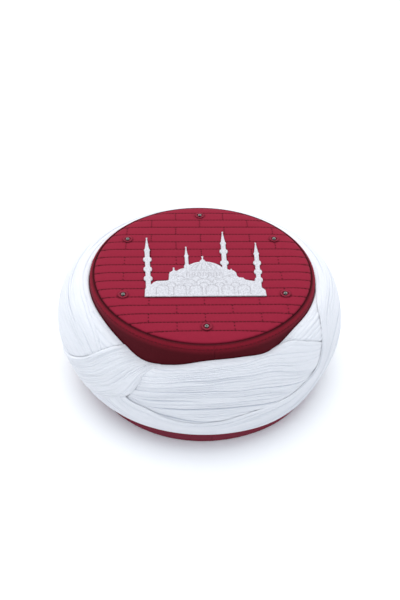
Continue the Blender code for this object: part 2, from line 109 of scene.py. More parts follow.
def new_finish(name, given):
    """A material, its node tree, and its Principled shader with values set on it."""
    material = bpy.data.materials.new(name)
    material.use_nodes = True
    shader = material.node_tree.nodes["Principled BSDF"]
    for label, value in given.items():
        shader.inputs[label].default_value = value
    return material, material.node_tree, shader


scene.view_settings.view_transform = "Standard"
for name, towards, strength, spread, colour in LAMPS:
    lamp = bpy.data.lights.new(name, "SUN")
    lamp.energy, lamp.angle, lamp.color = strength, math.radians(spread), colour
    sun = place_object(name, lamp)
    sun.rotation_euler = Vector(towards).to_track_quat("-Z", "Y").to_euler()

world = bpy.data.worlds.new("studio")
world.use_nodes = True
scene.world = world
tree = world.node_tree
tree.nodes.clear()
sky, paper = (put_node(tree, "ShaderNodeBackground", {"Color": (*colour, 1.0), "Strength": strength})
              for colour, strength in (SKY, SEEN))
rays = put_node(tree, "ShaderNodeLightPath")
choose = put_node(tree, "ShaderNodeMixShader", {0: rays.outputs["Is Camera Ray"],
                                                1: sky.outputs[0], 2: paper.outputs[0]})
put_node(tree, "ShaderNodeOutputWorld", {"Surface": choose.outputs[0]})

floor_mesh = bpy.data.meshes.new("floor")
floor_mesh.from_pydata([(x * FLOOR_REACH, y * FLOOR_REACH, -FLOOR_DROP)
                        for x, y in ((-1, -1), (1, -1), (1, 1), (-1, 1))], [], [(0, 1, 2, 3)])
paper_finish, _, _ = new_finish("white paper", {"Base Color": (0.98, 0.98, 0.98, 1.0),
                                                "Roughness": 0.9, "Specular IOR Level": 0.2})
floor_mesh.materials.append(paper_finish)
floor = place_object("floor", floor_mesh)
print("floor and", len(LAMPS), "lights are in place")

# %% [markdown]
# ## Sizes that the frame's pieces share
# The wound cloth is one long strip, wound round the cap's wall and crossed at the front. On the
# frame every pass of it lies in one ring with a half-oval section: an azimuth says where round the
# cap, a share says how far up from its foot to its top, and a sink says how deep under the
# outermost surface. The same tables are used here, so each finer piece lies where its solid does.

# %% Sizes and tables
RIM_RADIUS, WALL_LEAN, CAP_HEIGHT = 0.095, 0.0085, 0.092
SHOULDER_TURN, SHOULDER_DROP = 0.0035, 0.005
CAP_WALL, RIM_ROUND = 0.0028, 0.0006
LEDGE_WIDTH, LEDGE_THICKNESS, LEDGE_DROP = 0.008, 0.0012, 0.0022
SHOULDER_RADIUS = RIM_RADIUS - WALL_LEAN
SHOULDER_HEIGHT = CAP_HEIGHT - SHOULDER_DROP
SEAM_RADIUS = SHOULDER_RADIUS - SHOULDER_TURN
BULGE, LAYER, PLY = 0.032, 0.003, 0.0024
GAP, COVER_GAP, POLE_SHARE = 0.0003, 0.0006, 0.35
PRESSED, PRESS_REACH, CROSS_LIFT = 0.0022, 2.0, 0.0004
SOFT_EDGE = 6.0  # degrees, where the crossing fold's lower right edge melts into the band
MELT_FROM, MELT_OVER = 0.56, 0.08  # shares

RING = (  # azimuth, and shares of the bulge and of the cap's height at the cloth's foot and top
    (-180, 1.00, 0.115, 0.915), (-150, 0.97, 0.125, 0.925), (-120, 0.89, 0.130, 0.935),
    (-90, 0.765, 0.130, 0.925), (-60, 0.61, 0.125, 0.905), (-45, 0.53, 0.120, 0.850),
    (-30, 0.455, 0.115, 0.757), (-15, 0.405, 0.110, 0.800), (0, 0.375, 0.100, 0.868),
    (15, 0.375, 0.095, 0.868), (30, 0.39, 0.085, 0.838), (45, 0.455, 0.080, 0.920),
    (60, 0.53, 0.080, 0.930), (90, 0.735, 0.080, 0.930), (120, 0.905, 0.085, 0.920),
    (150, 0.985, 0.100, 0.915),
)
BAND_EDGE = (  # azimuth, and share of the way up the ring
    (-180, 1.00), (-120, 1.00), (-92, 0.985), (-70, 0.975), (-62, 0.94), (-55, 0.895),
    (-48, 0.80), (-40, 0.645), (-32, 0.54), (-24, 0.505), (-14, 0.425), (-4, 0.39),
    (6, 0.40), (18, 0.445), (30, 0.465), (38, 0.46), (46, 0.49), (52, 0.53),
    (56, 0.635), (60, 0.80), (65, 0.915), (74, 0.99), (90, 1.00), (140, 1.00),
)
FRONT_EDGE = (
    (-34, 1.00), (-30, 1.00), (-27, 1.00), (-20, 1.00), (-12, 1.00), (0, 1.00), (16, 1.00),
    (28, 1.00), (34, 1.00), (40, 0.905), (46, 0.795), (52, 0.72), (58, 0.65), (62, 0.615),
)
CROSS_EDGES = (  # share, and azimuths of the fold's left and right edges
    (1.00, -40.5, -20.5), (0.90, -43.0, -24.0), (0.80, -46.2, -26.7), (0.69, -50.8, -28.5),
    (0.575, -56.8, -31.3), (0.485, -64.2, -35.5), (0.39, -74.0, -41.5), (0.29, -84.0, -49.0),
    (0.18, -93.0, -59.0), (0.07, -100.0, -70.0),
)


def ease(value):
    """Ease from 0 to 1 as the value goes from 0 to 1."""
    value = np.clip(value, 0.0, 1.0)
    return value * value * (3.0 - 2.0 * value)


def on_curve(table, place, column=1):
    """Read a column of a table at places in its first column, on a smooth curve."""
    rows = np.array(table, dtype=float)
    place = np.asarray(place, dtype=float)
    if rows[0, 0] == -180:  # a table that starts there goes all the way round
        place = (place + 180.0) % 360.0 - 180.0
        before, after = rows[-2:].copy(), rows[:2].copy()
        before[:, 0] -= 360.0
        after[:, 0] += 360.0
        rows = np.vstack([before, rows, after])
    rows = rows[np.argsort(rows[:, 0])]
    at, value = rows[:, 0], rows[:, column]
    slope = np.gradient(value, at)
    slope[1:-1] = (value[2:] - value[:-2]) / (at[2:] - at[:-2])
    place = np.clip(place, at[0], at[-1])
    low = np.clip(np.searchsorted(at, place, side="right") - 1, 0, len(at) - 2)
    span = at[low + 1] - at[low]
    t = (place - at[low]) / span
    eased = t * t * (3.0 - 2.0 * t)
    bend = t * (1.0 - t) * span * ((1.0 - t) * slope[low] - t * slope[low + 1])
    return value[low] * (1.0 - eased) + value[low + 1] * eased + bend


def wall_radius(height):
    """Outer radius of the cap's wall at a height."""
    return RIM_RADIUS - WALL_LEAN * height / SHOULDER_HEIGHT


def ring_section(azimuth):
    """The wound cloth's bulge out of the wall, and its foot's and top's heights."""
    bulge, foot, top = (on_curve(RING, azimuth, column) for column in (1, 2, 3))
    return BULGE * bulge, CAP_HEIGHT * foot, CAP_HEIGHT * top


def wrap_point(azimuth, share, sink):
    """Points in the wound cloth, as an array whose last axis is x, y and z."""
    bulge, foot, top = ring_section(azimuth)
    rise = math.pi * (share - 0.5)
    half = (top - foot) / 2.0 - POLE_SHARE * sink
    height = (foot + top) / 2.0 + half * np.sin(rise)
    radius = wall_radius(height) + GAP + (bulge - sink) * np.cos(rise)
    turn = np.radians(azimuth)
    return np.stack([radius * np.sin(turn), -radius * np.cos(turn), height], axis=-1)


def melting(share):
    """From 0 to 1 down the crossing fold, where its right edge melts into the band."""
    return ease((MELT_FROM - share) / MELT_OVER)


def pressed_down(azimuth, share):
    """How far the crossing fold presses the band at each point."""
    reach = PRESS_REACH + (SOFT_EDGE - PRESS_REACH) * melting(share)
    left, right = on_curve(CROSS_EDGES, share), on_curve(CROSS_EDGES, share, 2)
    return PRESSED * ease((azimuth - left) / PRESS_REACH) * ease((right - azimuth) / reach)


def inside_edge(edge, azimuth, share):
    """How far each point lies below an edge of a pass, along the cloth, in metres."""
    step = 0.5
    slope = (edge(azimuth + step) - edge(azimuth - step)) / (2 * step)
    bulge, foot, top = ring_section(azimuth)
    rise = math.pi * (share - 0.5)
    per_share = math.pi * np.hypot(bulge * np.sin(rise), (top - foot) / 2.0 * np.cos(rise))
    per_degree = math.radians(1.0) * (RIM_RADIUS + bulge)
    return (edge(azimuth) - share) * per_share / np.hypot(1.0, slope * per_share / per_degree)


def band_edge(azimuth):
    """The share at which the outer band's upper edge lies."""
    return on_curve(BAND_EDGE, azimuth)


def front_edge(azimuth):
    """The share at which the front pass's upper edge lies."""
    return on_curve(FRONT_EDGE, azimuth)


print("front of the cloth", np.round(wrap_point(0.0, 0.5, 0.0) * 1000, 1), "mm")

# %% [markdown]
# ## Shared surface effects
# Both cloths are woven, so their fine relief comes from one node group that draws the threads. A
# second group makes the long fine gathers of the white cloth, and a third varies a colour softly,
# as dye and light handling do. Groups keep the same effect the same wherever it is used.

# %% Node groups


def new_group(name, given, results):
    """Start a shader node group that takes a vector and other inputs, with their usual values."""
    group = bpy.data.node_groups.new(name, "ShaderNodeTree")
    add = group.interface.new_socket
    add("Vector", in_out="INPUT", socket_type="NodeSocketVector")
    for label, value in given.items():
        kind = "NodeSocketFloat" if isinstance(value, float) else "NodeSocketColor"
        add(label, in_out="INPUT", socket_type=kind).default_value = value
    for label, kind in results.items():
        add(label, in_out="OUTPUT", socket_type=kind)
    inputs = put_node(group, "NodeGroupInput").outputs
    return group, inputs[:len(given) + 1], put_node(group, "NodeGroupOutput").inputs


def math_node(tree, operation, first, second=None):
    """The result of a Math node, its inputs given as sockets or numbers."""
    return put_node(tree, "ShaderNodeMath", {0: first, 1: second}, operation=operation).outputs[0]


WAVE_PERIOD = math.tau / 20.0  # of Blender's Wave texture at scale 1


def thread_weave():
    """Threads over and under each other: a height from 0 to 1 for a pitch in metres."""
    group, (vector, pitch, twill), result = new_group(
        "thread weave", {"Pitch": 0.0006, "Twill": 0.0}, {"Height": "NodeSocketFloat"})
    scale = math_node(group, "DIVIDE", WAVE_PERIOD, pitch)
    across, along, slant = (
        put_node(group, "ShaderNodeTexWave", {"Distortion": 0.6, "Detail": 1.0, "Vector": vector,
                                              "Scale": scale},
                 wave_type="BANDS", bands_direction=direction).outputs["Fac"]
        for direction in ("X", "Y", "DIAGONAL"))
    plain = math_node(group, "MULTIPLY", math_node(group, "MULTIPLY", across, along),
                      math_node(group, "SUBTRACT", 1.0, twill))
    both = math_node(group, "ADD", plain, math_node(group, "MULTIPLY", slant, twill))
    group.links.new(both, result["Height"])
    return group


def long_gathers():
    """Fine lines along the first coordinate, as thin cloth gathers when it is pulled tight."""
    group, (vector, spacing, stretch), result = new_group(
        "long gathers", {"Spacing": 0.002, "Stretch": 0.04}, {"Height": "NodeSocketFloat"})
    along = math_node(group, "DIVIDE", 1.0, stretch)
    total = 0.0
    for share, weight in ((1.0, 1.0), (0.37, 0.45)):
        across = math_node(group, "DIVIDE", 1.0, math_node(group, "MULTIPLY", spacing, share))
        scale = put_node(group, "ShaderNodeCombineXYZ", {"X": along, "Y": across})
        place = put_node(group, "ShaderNodeVectorMath", {0: vector, 1: scale.outputs[0]},
                         operation="MULTIPLY")
        noise = put_node(group, "ShaderNodeTexNoise", {"Scale": 1.0, "Detail": 1.5,
                                                       "Vector": place.outputs[0]})
        ridge = math_node(group, "SUBTRACT", noise.outputs["Fac"], 0.5)
        ridge = math_node(group, "MULTIPLY", math_node(group, "ABSOLUTE", ridge), weight)
        total = math_node(group, "ADD", total, ridge)
    group.links.new(total, result["Height"])
    return group


def soft_tone():
    """A colour that drifts a little darker and lighter over the surface."""
    group, (vector, colour, scale, amount), result = new_group(
        "soft tone", {"Colour": (0.5, 0.5, 0.5, 1.0), "Scale": 40.0, "Amount": 0.1},
        {"Colour": "NodeSocketColor", "Value": "NodeSocketFloat"})
    noise = put_node(group, "ShaderNodeTexNoise", {"Detail": 4.0, "Vector": vector, "Scale": scale})
    swing = math_node(group, "SUBTRACT", noise.outputs["Fac"], 0.5)
    swing = math_node(group, "MULTIPLY", swing, amount)
    gain = math_node(group, "ADD", math_node(group, "MULTIPLY", swing, 2.0), 1.0)
    tone = put_node(group, "ShaderNodeVectorMath", {0: colour, "Scale": gain}, operation="SCALE")
    group.links.new(tone.outputs[0], result["Colour"])
    group.links.new(noise.outputs["Fac"], result["Value"])
    return group


WEAVE, GATHERS, TONE = thread_weave(), long_gathers(), soft_tone()
print("groups:", WEAVE.name, "/", GATHERS.name, "/", TONE.name)

# %% [markdown]
# ## Finishes
# Cotton and thread are matt with a faint sheen at a glancing angle, so each cloth is a Principled
# shader with a high roughness and some sheen, and its relief is a small bump. The metal of the
# eyelets is a satin grey. A colour that is the same all over is set on the shader itself.

# %% Materials


def use_group(tree, group, vector, **values):
    """Place a node group in a material with its own values."""
    return put_node(tree, "ShaderNodeGroup", {"Vector": vector, **values}, node_tree=group)


def finish(name, colour, roughness, sheen, coordinates, weave_pitch, weave_depth, twill=0.0,
           gather=None, tone_scale=60.0, tone_amount=0.06, marked=(),
           sheen_tint=(1.0, 1.0, 1.0)):
    """A woven cloth: its colour drifts or follows attributes, and threads give it relief."""
    material, tree, shader = new_finish(name, {
        "Roughness": roughness, "Sheen Weight": sheen, "Sheen Roughness": 0.45,
        "Sheen Tint": (*sheen_tint, 1.0), "Specular IOR Level": 0.12})
    place = put_node(tree, "ShaderNodeTexCoord").outputs
    base = (*colour, 1.0)
    for label, other in marked:
        here = put_node(tree, "ShaderNodeAttribute", attribute_name=label)
        base = put_node(tree, "ShaderNodeMix", {0: here.outputs["Fac"], 6: base, 7: (*other, 1.0)},
                        data_type="RGBA").outputs[2]
    tone = use_group(tree, TONE, place["Object"], Colour=base, Scale=tone_scale, Amount=tone_amount)
    tree.links.new(tone.outputs["Colour"], shader.inputs["Base Color"])
    weave = use_group(tree, WEAVE, place[coordinates], Pitch=weave_pitch, Twill=twill)
    relief = {"Distance": weave_depth, "Strength": 0.6, "Height": weave.outputs["Height"]}
    if gather:
        spacing, stretch, depth = gather
        lines = use_group(tree, GATHERS, place[coordinates], Spacing=spacing, Stretch=stretch)
        relief["Normal"] = put_node(tree, "ShaderNodeBump", {
            "Distance": depth, "Strength": 0.8, "Height": lines.outputs["Height"]}).outputs[0]
    tree.links.new(put_node(tree, "ShaderNodeBump", relief).outputs[0], shader.inputs["Normal"])
    return material


# Painted shade: the seam mark darkens the crown's colour along its stitched lines, at its edge and in a
# ring round each eyelet.
crown_cloth = finish("maroon crown cloth", (0.270, 0.0118, 0.034), 0.85, 0.03, "Object",
                     0.0007, 0.00012, twill=0.7, tone_scale=300.0, tone_amount=0.08,
                     marked=(("seam", (0.095, 0.0032, 0.010)),))
# Painted shade: the wall is the crown's maroon twill, painted about four times darker for the shade on
# the upright wall.
wall_cloth = finish("maroon wall cloth", (0.064, 0.0018, 0.0048), 0.9, 0.26, "UV",
                    0.0007, 0.00012, twill=0.7, tone_scale=30.0, tone_amount=0.08,
                    sheen_tint=(0.9, 0.14, 0.24),
                    # Painted light: lighter maroon towards the rim and at the shoulder. Painted shade:
                    # dark maroon in the seam under the crown.
                    marked=(("rim", (0.21, 0.03, 0.048)), ("shoulder", (0.21, 0.0086, 0.021)),
                            ("seam", (0.018, 0.001, 0.002))))
# Painted shade: the crease mark turns the white cloth bluish grey along each crease.
white_cloth = finish("fine white cotton", (0.815, 0.824, 0.852), 0.9, 0.12, "UV",
                     0.0006, 0.00006, gather=(0.0014, 0.25, 0.0009), tone_scale=25.0,
                     tone_amount=0.02, marked=(("crease", (0.46, 0.50, 0.58)),))
maroon_thread = finish("maroon thread", (0.080, 0.0032, 0.009), 0.7, 0.02, "Object",
                       0.0003, 0.00004)
ring_thread = finish("maroon ring thread", (0.30, 0.016, 0.042), 0.55, 0.1, "Object",
                     0.0003, 0.00004)
# The figure's groove mark darkens its arch valleys, partly for their needle holes and partly as painted
# shade.
white_thread = finish("white embroidery thread", (0.64, 0.635, 0.66), 0.62, 0.2, "Object",
                      0.0009, 0.0004, tone_scale=900.0, tone_amount=0.55,
                      marked=(("border", (0.66, 0.655, 0.68)), ("groove", (0.45, 0.435, 0.455))))
border_thread = finish("white border thread", (0.70, 0.695, 0.72), 0.55, 0.2, "Object",
                       0.0003, 0.00004)
print("cloth and thread finishes:", len(bpy.data.materials))

# %% [markdown]
# The eyelets are small pressed rings of grey metal, dulled by handling. Their roughness varies a
# little, so that the tiny highlights are not perfectly clean.

# %% Eyelet metal
eyelet_metal, tree, shader = new_finish("satin grey metal", {"Metallic": 1.0})
place = put_node(tree, "ShaderNodeTexCoord")
tone = use_group(tree, TONE, place.outputs["Object"], Colour=(0.26, 0.27, 0.25, 1.0),
                 Scale=900.0, Amount=0.15)
tree.links.new(tone.outputs["Colour"], shader.inputs["Base Color"])
rough = math_node(tree, "ADD", math_node(tree, "MULTIPLY", tone.outputs["Value"], 0.25), 0.32)
tree.links.new(rough, shader.inputs["Roughness"])
print("eyelets:", eyelet_metal.name)

# %% [markdown]
# ## Mesh helpers
# Every piece is a closed mesh built from arrays of points, so it can be exported and printed. The
# signed volume says whether its faces point outwards, and they are turned over where they don't.

# %% Mesh helpers


def new_piece(name, points, faces, material, uvs=None):
    """A smooth closed piece from points and faces, its faces pointing outwards."""
    points = np.asarray(points, dtype=float)
    volume = 0.0
    for size in sorted({len(face) for face in faces}):
        group = np.array([face for face in faces if len(face) == size])
        for k in range(1, size - 1):
            a, b, c = points[group[:, 0]], points[group[:, k]], points[group[:, k + 1]]
            volume += float(np.sum(a * np.cross(b, c))) / 6.0
    if volume < 0:
        faces = [face[::-1] for face in faces]
        uvs = None if uvs is None else [corner[::-1] for corner in uvs]
    mesh = bpy.data.meshes.new(name)
    mesh.from_pydata(points.tolist(), [], faces)
    if uvs is not None:
        layer = mesh.uv_layers.new(name="UVMap")
        layer.data.foreach_set("uv", np.concatenate([np.ravel(corner) for corner in uvs]))
    mesh.materials.append(material)
    mesh.shade_smooth()
    print(name, len(faces), "faces,", round(abs(volume) * 1e6, 2), "cubic cm")
    return place_object(name, mesh)


def tube_faces(count, size, closed):
    """Quads from each ring of points to the next one, and from the last to the first if closed."""
    faces = []
    for i in range(count if closed else count - 1):
        here, there = i * size, (i + 1) % count * size
        for j in range(size):
            after = (j + 1) % size
            faces.append([here + j, here + after, there + after, there + j])
    return faces


def turned_piece(name, profile, turns, material, centre=(0.0, 0.0), shift=None):
    """A closed profile of (radius, height) points turned round an upright axis."""
    profile, turns = np.array(profile), np.asarray(turns)
    count = len(profile)
    radius = np.broadcast_to(profile[:, 0], (len(turns), count))
    z = np.broadcast_to(profile[:, 1], radius.shape)
    if shift is not None:
        radius = radius + shift(turns[:, None], z)
    x = centre[0] + np.sin(turns)[:, None] * radius
    y = centre[1] - np.cos(turns)[:, None] * radius
    points = np.stack([x, y, z], axis=-1).reshape(-1, 3)
    across = np.concatenate([[0.0], np.cumsum(np.hypot(*np.diff(profile, axis=0).T))])
    along = np.append(turns, turns[0] + math.tau) * profile[:, 0].max()
    uvs = [[(here, low), (here, high), (there, high), (there, low)]
           for here, there in zip(along, along[1:])
           for low, high in zip(across, np.append(across[1:], across[-1]))]
    return new_piece(name, points, tube_faces(len(turns), count, True), material, uvs)


def open_edges(faces):
    """The edges that only one face has, in that face's own direction."""
    users = {}
    for face in faces:
        face = [int(i) for i in face]
        for a, b in zip(face, face[1:] + face[:1]):
            users.setdefault((min(a, b), max(a, b)), []).append((a, b))
    return [found[0] for found in users.values() if len(found) == 1]


def mark(piece, label, values):
    """Keep a number for each point of a piece, for its finish to read."""
    layer = piece.data.attributes.new(label, "FLOAT", "POINT")
    layer.data.foreach_set("value", np.asarray(values, dtype=float))


def keep(piece, slot, *nodes):
    """Hang a piece from the root body and hide the frame's pieces that it stands for. The slot is not
    used.
    """
    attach(piece, "root")
    if nodes:
        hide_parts(*nodes)


# %% [markdown]
# ## The cap's wall
# The wall is felt covered with maroon twill. The cover is turned in over a soft shoulder at the
# top, sewn to the crown with a row of topstitching just below the seam, and folded in at the rim.
# A turned profile suits it, with a small ridge where the topstitching holds the seam allowance.
# Its maroon is painted darker than the crown's as painted shade, with painted light at the rim and
# shoulder and painted shade in the top seam.

# %% Wall cover
WALL_SEGMENTS = 240
WALL_TOP = CAP_HEIGHT - 0.0010  # the cover's folded top edge, a little under the crown's edge
FOLD_RADIUS = SEAM_RADIUS + 0.0003
TOPSTITCH_HEIGHT = CAP_HEIGHT - 0.0035
STITCH_RIDGE, STITCH_DENT, DENT_REACH = 0.0001, 0.00015, 0.0005
RIDGE_FOOT, RIDGE_HEAD = 0.0007, 0.0009  # heights over which the ridge rises and ends
FLATNESS, ROUNDNESS = 2.2, 1.6  # powers of the shoulder's oval section
SIDE_SEAM, SEAM_DENT, SEAM_WIDTH = math.radians(3.1), 0.00045, math.radians(0.20)
SPREAD, SPREAD_AT, SPREAD_REACH = 0.0022, math.radians(47.0), math.radians(24.0)
SPREAD_HEIGHT = 0.032
RIM_LIT, RIM_FADE, SHOULDER_LIT, SHOULDER_FADE = 0.010, 0.012, 0.084, 0.007  # painted light: lighter cloth below the rim's height and above the shoulder's, each fading over its length
WALL_SHADE = 0.0004  # reach of the painted shade in the seam under the crown's edge


def shoulder_at(height):
    """Radius of the shoulder and the wall at a height."""
    if height <= SHOULDER_HEIGHT:
        return float(wall_radius(height))
    part = (height - SHOULDER_HEIGHT) / (WALL_TOP - SHOULDER_HEIGHT)
    return FOLD_RADIUS + (SHOULDER_RADIUS - FOLD_RADIUS) * (1.0 - part ** FLATNESS) ** (1 / ROUNDNESS)


def cover_radius(height):
    """The shoulder with the ridge that the turned-in cloth makes over the topstitching."""
    above = ease((height - TOPSTITCH_HEIGHT) / RIDGE_FOOT) * ease((WALL_TOP - height) / RIDGE_HEAD)
    at_stitches = math.exp(-((height - TOPSTITCH_HEIGHT) / DENT_REACH) ** 2)
    return float(shoulder_at(height) + STITCH_RIDGE * above - STITCH_DENT * at_stitches)


def wall_shift(turns, height):
    """The wall's upright seam, and its lower part pushed out a little at the right front."""
    seam = np.exp(-((turns - SIDE_SEAM) / SEAM_WIDTH) ** 2) * (height > RIM_ROUND)
    puff = 0.5 * np.exp(-((np.abs(turns - SIDE_SEAM) - 3 * SEAM_WIDTH) / (2 * SEAM_WIDTH)) ** 2)
    around = (turns - SPREAD_AT + math.pi) % math.tau - math.pi
    low = 1.0 - ease(height / SPREAD_HEIGHT)
    return SPREAD * low * np.exp(-(around / SPREAD_REACH) ** 2) + SEAM_DENT * (0.5 * puff - seam)


heights = np.concatenate([np.linspace(WALL_TOP, WALL_TOP - 0.0035, 22),
                          np.linspace(WALL_TOP - 0.0042, 0.026, 26),
                          np.linspace(0.024, RIM_ROUND, 16)])
outside = [(cover_radius(h), float(h)) for h in heights]
inside_rim = RIM_RADIUS - CAP_WALL
ledge_top = CAP_HEIGHT - LEDGE_DROP
ledge_bottom = ledge_top - LEDGE_THICKNESS
wall_profile = outside + [
    (RIM_RADIUS - RIM_ROUND * 0.3, RIM_ROUND * 0.3), (RIM_RADIUS - RIM_ROUND, 0.0),
    (inside_rim + RIM_ROUND, 0.0), (inside_rim, RIM_ROUND),
    (inside_rim - WALL_LEAN / 3, SHOULDER_HEIGHT / 3),
    (float(wall_radius(ledge_bottom)) - CAP_WALL, ledge_bottom),
    (SEAM_RADIUS - LEDGE_WIDTH, ledge_bottom), (SEAM_RADIUS - LEDGE_WIDTH, ledge_top),
    (SEAM_RADIUS, ledge_top),
]
beside_seam = SIDE_SEAM + SEAM_WIDTH * np.linspace(-5.0, 5.0, 31)
wall_turns = np.arange(WALL_SEGMENTS) * math.tau / WALL_SEGMENTS
wall_turns = wall_turns[(wall_turns < beside_seam[0]) | (wall_turns > beside_seam[-1])]
wall_turns = np.sort(np.concatenate([wall_turns, beside_seam]))
wall = turned_piece("wall_cover", wall_profile, wall_turns, wall_cloth, shift=wall_shift)
wall_height = np.array([v.co.z for v in wall.data.vertices])
# Painted light: the cloth is lighter towards the rim, for light that the floor throws up.
mark(wall, "rim", 1.0 - ease((wall_height - RIM_LIT) / RIM_FADE))
# Painted light: the cloth is lighter on the shoulder, which faces the light from above.
mark(wall, "shoulder", ease((wall_height - SHOULDER_LIT) / SHOULDER_FADE))
# Painted shade: a dark line in the seam under the crown's edge.
mark(wall, "seam", np.exp(-np.maximum(WALL_TOP - wall_height, 0.0) / WALL_SHADE))
keep(wall, "wall_cloth", "cap_wall")

# %% [markdown]
# ## The quilted crown
# The crown is maroon twill over thin wadding, stitched in straight strips with short cross seams
# between them like brickwork, and it rolls down at its edge. A height formula could draw it, but
# real quilting puckers towards its stitches, so the pad is simulated: its stitched points are
# pinned and a little air pressure swells the cloth between them.

# %% Crown layout
CROWN_TOP = CAP_HEIGHT + 0.0015
CROWN_ROLL, CROWN_ROLL_DROP, QUILT_DEPTH = 0.0036, 0.0009, 0.0008
CROWN_SAG, SAG_WIDTH = 0.0012, 0.0130  # the pad sinks softly towards its edge before it rolls down
ROLL_POWER = 3.2  # 2 would be a quarter round, and more is a crisper edge
SWELL_POWER = 0.42  # 1 would make the strips arched, and less makes them flatter
FIRST_STRIP, STRIP_WIDTH, STRIP_CLOSING = 0.0099, 0.01055, 0.00013
PANEL_RADIUS = SEAM_RADIUS - GAP
PANEL_BOTTOM = ledge_top + GAP
JOINT_PITCH, JOINT_STARTS, JOINT_MARGIN = 0.0397, (-0.00055, 0.0193), 0.006
EYELET_COUNT, EYELET_CIRCLE = 6, SEAM_RADIUS - 0.0148
EYELET_HOLE = 0.0012

strip_lines = [PANEL_RADIUS - FIRST_STRIP]
strip_width = STRIP_WIDTH
while strip_lines[-1] - strip_width > CROWN_ROLL - PANEL_RADIUS:
    strip_lines.append(strip_lines[-1] - strip_width)
    strip_width -= STRIP_CLOSING
strip_edges = np.array([PANEL_RADIUS + 0.0005] + strip_lines + [-PANEL_RADIUS - 0.0005])
eyelet_turns = [math.radians(90.0) - math.tau * number / EYELET_COUNT
                for number in range(EYELET_COUNT)]
eyelet_places = [(EYELET_CIRCLE * math.cos(turn), EYELET_CIRCLE * math.sin(turn))
                 for turn in eyelet_turns]


def joints_of(strip):
    """Places along X of the short cross seams in one strip."""
    places = JOINT_STARTS[strip % 2] + JOINT_PITCH * np.arange(-3, 4)
    middle = (strip_edges[strip] + strip_edges[strip + 1]) / 2
    reach = math.sqrt(max(PANEL_RADIUS ** 2 - middle ** 2, 0.0)) - JOINT_MARGIN
    return [float(x) for x in places if abs(x) < reach]


def from_eyelet(points):
    """Distance from each flat point to the nearest eyelet's centre."""
    return np.min([np.hypot(*(points - centre).T) for centre in eyelet_places], axis=0)


print(len(strip_lines), "stitched lines and", len(eyelet_places), "eyelets")

# %% Crown mesh
SWELL_START = 0.35  # share of the quilt's height that the pad has before it swells
JOINT_DENT, JOINT_REACH = 0.00006, 0.0007
EYELET_DENT, EYELET_RING, RING_EDGE = 0.0002, 0.0042, 0.0041  # the crown sinks round each eyelet, and a ring of painted shade lies at the last radius
EDGE_RINGS = ((0.0, 360), (0.0005, 360), (0.0012, 330), (0.0021, 330), (0.0033, 300), (0.0048, 300))
STRIP_ROWS = (0.0, 0.05, 0.14, 0.28, 0.43, 0.57, 0.72, 0.86, 0.95)
LINE_ENDS = (0.0009, 0.0016, 0.0027, 0.0040)  # points at the ends of a line, in from the edge
ROW_STEP, RINGED = 0.0007, 0.0056  # RINGED is the edge that the rings take up
HOLE_POINTS, HOLE_ROOM, IN_HOLE = 24, 0.0004, 0.985  # the last is a share of its radius


def crown_height(x, y, fullness):
    """Height of the pad's upper side, with its strips swollen to a share of their fullness."""
    out = np.hypot(x, y) - PANEL_RADIUS
    strip = np.clip(np.searchsorted(-strip_edges, -y, side="right") - 1, 0, len(strip_edges) - 2)
    high, low = strip_edges[strip], strip_edges[strip + 1]
    t = np.clip((high - y) / (high - low), 0.0, 1.0)
    swell = (4.0 * t * (1.0 - t)) ** SWELL_POWER
    roll = np.clip((out + CROWN_ROLL) / CROWN_ROLL, 0.0, 1.0)
    drop = CROWN_ROLL_DROP * (1.0 - (1.0 - roll ** ROLL_POWER) ** (1.0 / ROLL_POWER))
    drop += CROWN_SAG * np.clip((out + SAG_WIDTH) / SAG_WIDTH, 0.0, 1.0) ** 2
    dent = EYELET_DENT * (1.0 - ease(from_eyelet(np.column_stack([x, y])) / EYELET_RING))
    for number in range(len(strip_edges) - 1):
        for joint in joints_of(number):
            pull = JOINT_DENT * np.exp(-np.abs(x - joint) / JOINT_REACH) * swell
            dent = np.maximum(dent, np.where(strip == number, pull, 0.0))
    return CROWN_TOP - drop - QUILT_DEPTH * (1.0 - fullness * swell) - dent * fullness


def crown_points():
    """Points of the pad seen from above, rows on the stitched lines and rings at its edge."""
    points = []
    for out, count in EDGE_RINGS:
        turns = np.arange(count) * math.tau / count
        radius = PANEL_RADIUS - out
        points += list(zip(radius * np.cos(turns), radius * np.sin(turns)))
    inner = PANEL_RADIUS - RINGED
    for high, low in zip(strip_edges, strip_edges[1:]):
        for t in STRIP_ROWS:
            y = high - t * (high - low)
            reach = math.sqrt(max(inner ** 2 - y ** 2, 0.0))
            count = int(reach / ROW_STEP)
            if count > 1 and abs(y) < inner:
                points += [(float(x), y) for x in np.linspace(-reach, reach, count)]
    for line in strip_lines:
        for out in LINE_ENDS:
            x = math.sqrt((PANEL_RADIUS - out) ** 2 - line ** 2)
            points += [(x, line), (-x, line)]
    points = np.array(points)
    points = list(map(tuple, points[from_eyelet(points) > EYELET_HOLE + HOLE_ROOM]))
    turns = [math.tau * step / HOLE_POINTS for step in range(HOLE_POINTS)]
    return points + [(cx + EYELET_HOLE * math.cos(turn), cy + EYELET_HOLE * math.sin(turn))
                     for cx, cy in eyelet_places for turn in turns]


def flat_triangles(points):
    """Triangles between flat points, without those that lie over an eyelet's hole."""
    made = geometry.delaunay_2d_cdt([Vector(p) for p in points], [], [], 0, 1e-7)
    flat = np.array([tuple(v) for v in made[0]])
    faces = np.array([f for f in made[2] if len(f) == 3])
    return flat, faces[from_eyelet(flat[faces].mean(axis=1)) > EYELET_HOLE * IN_HOLE]


upper_flat, upper_faces = flat_triangles(crown_points())
rim_edges = open_edges(upper_faces)
rim_points = sorted({a for edge in rim_edges for a in edge})
print("pad:", len(upper_flat), "points,", len(rim_points), "on its rims")

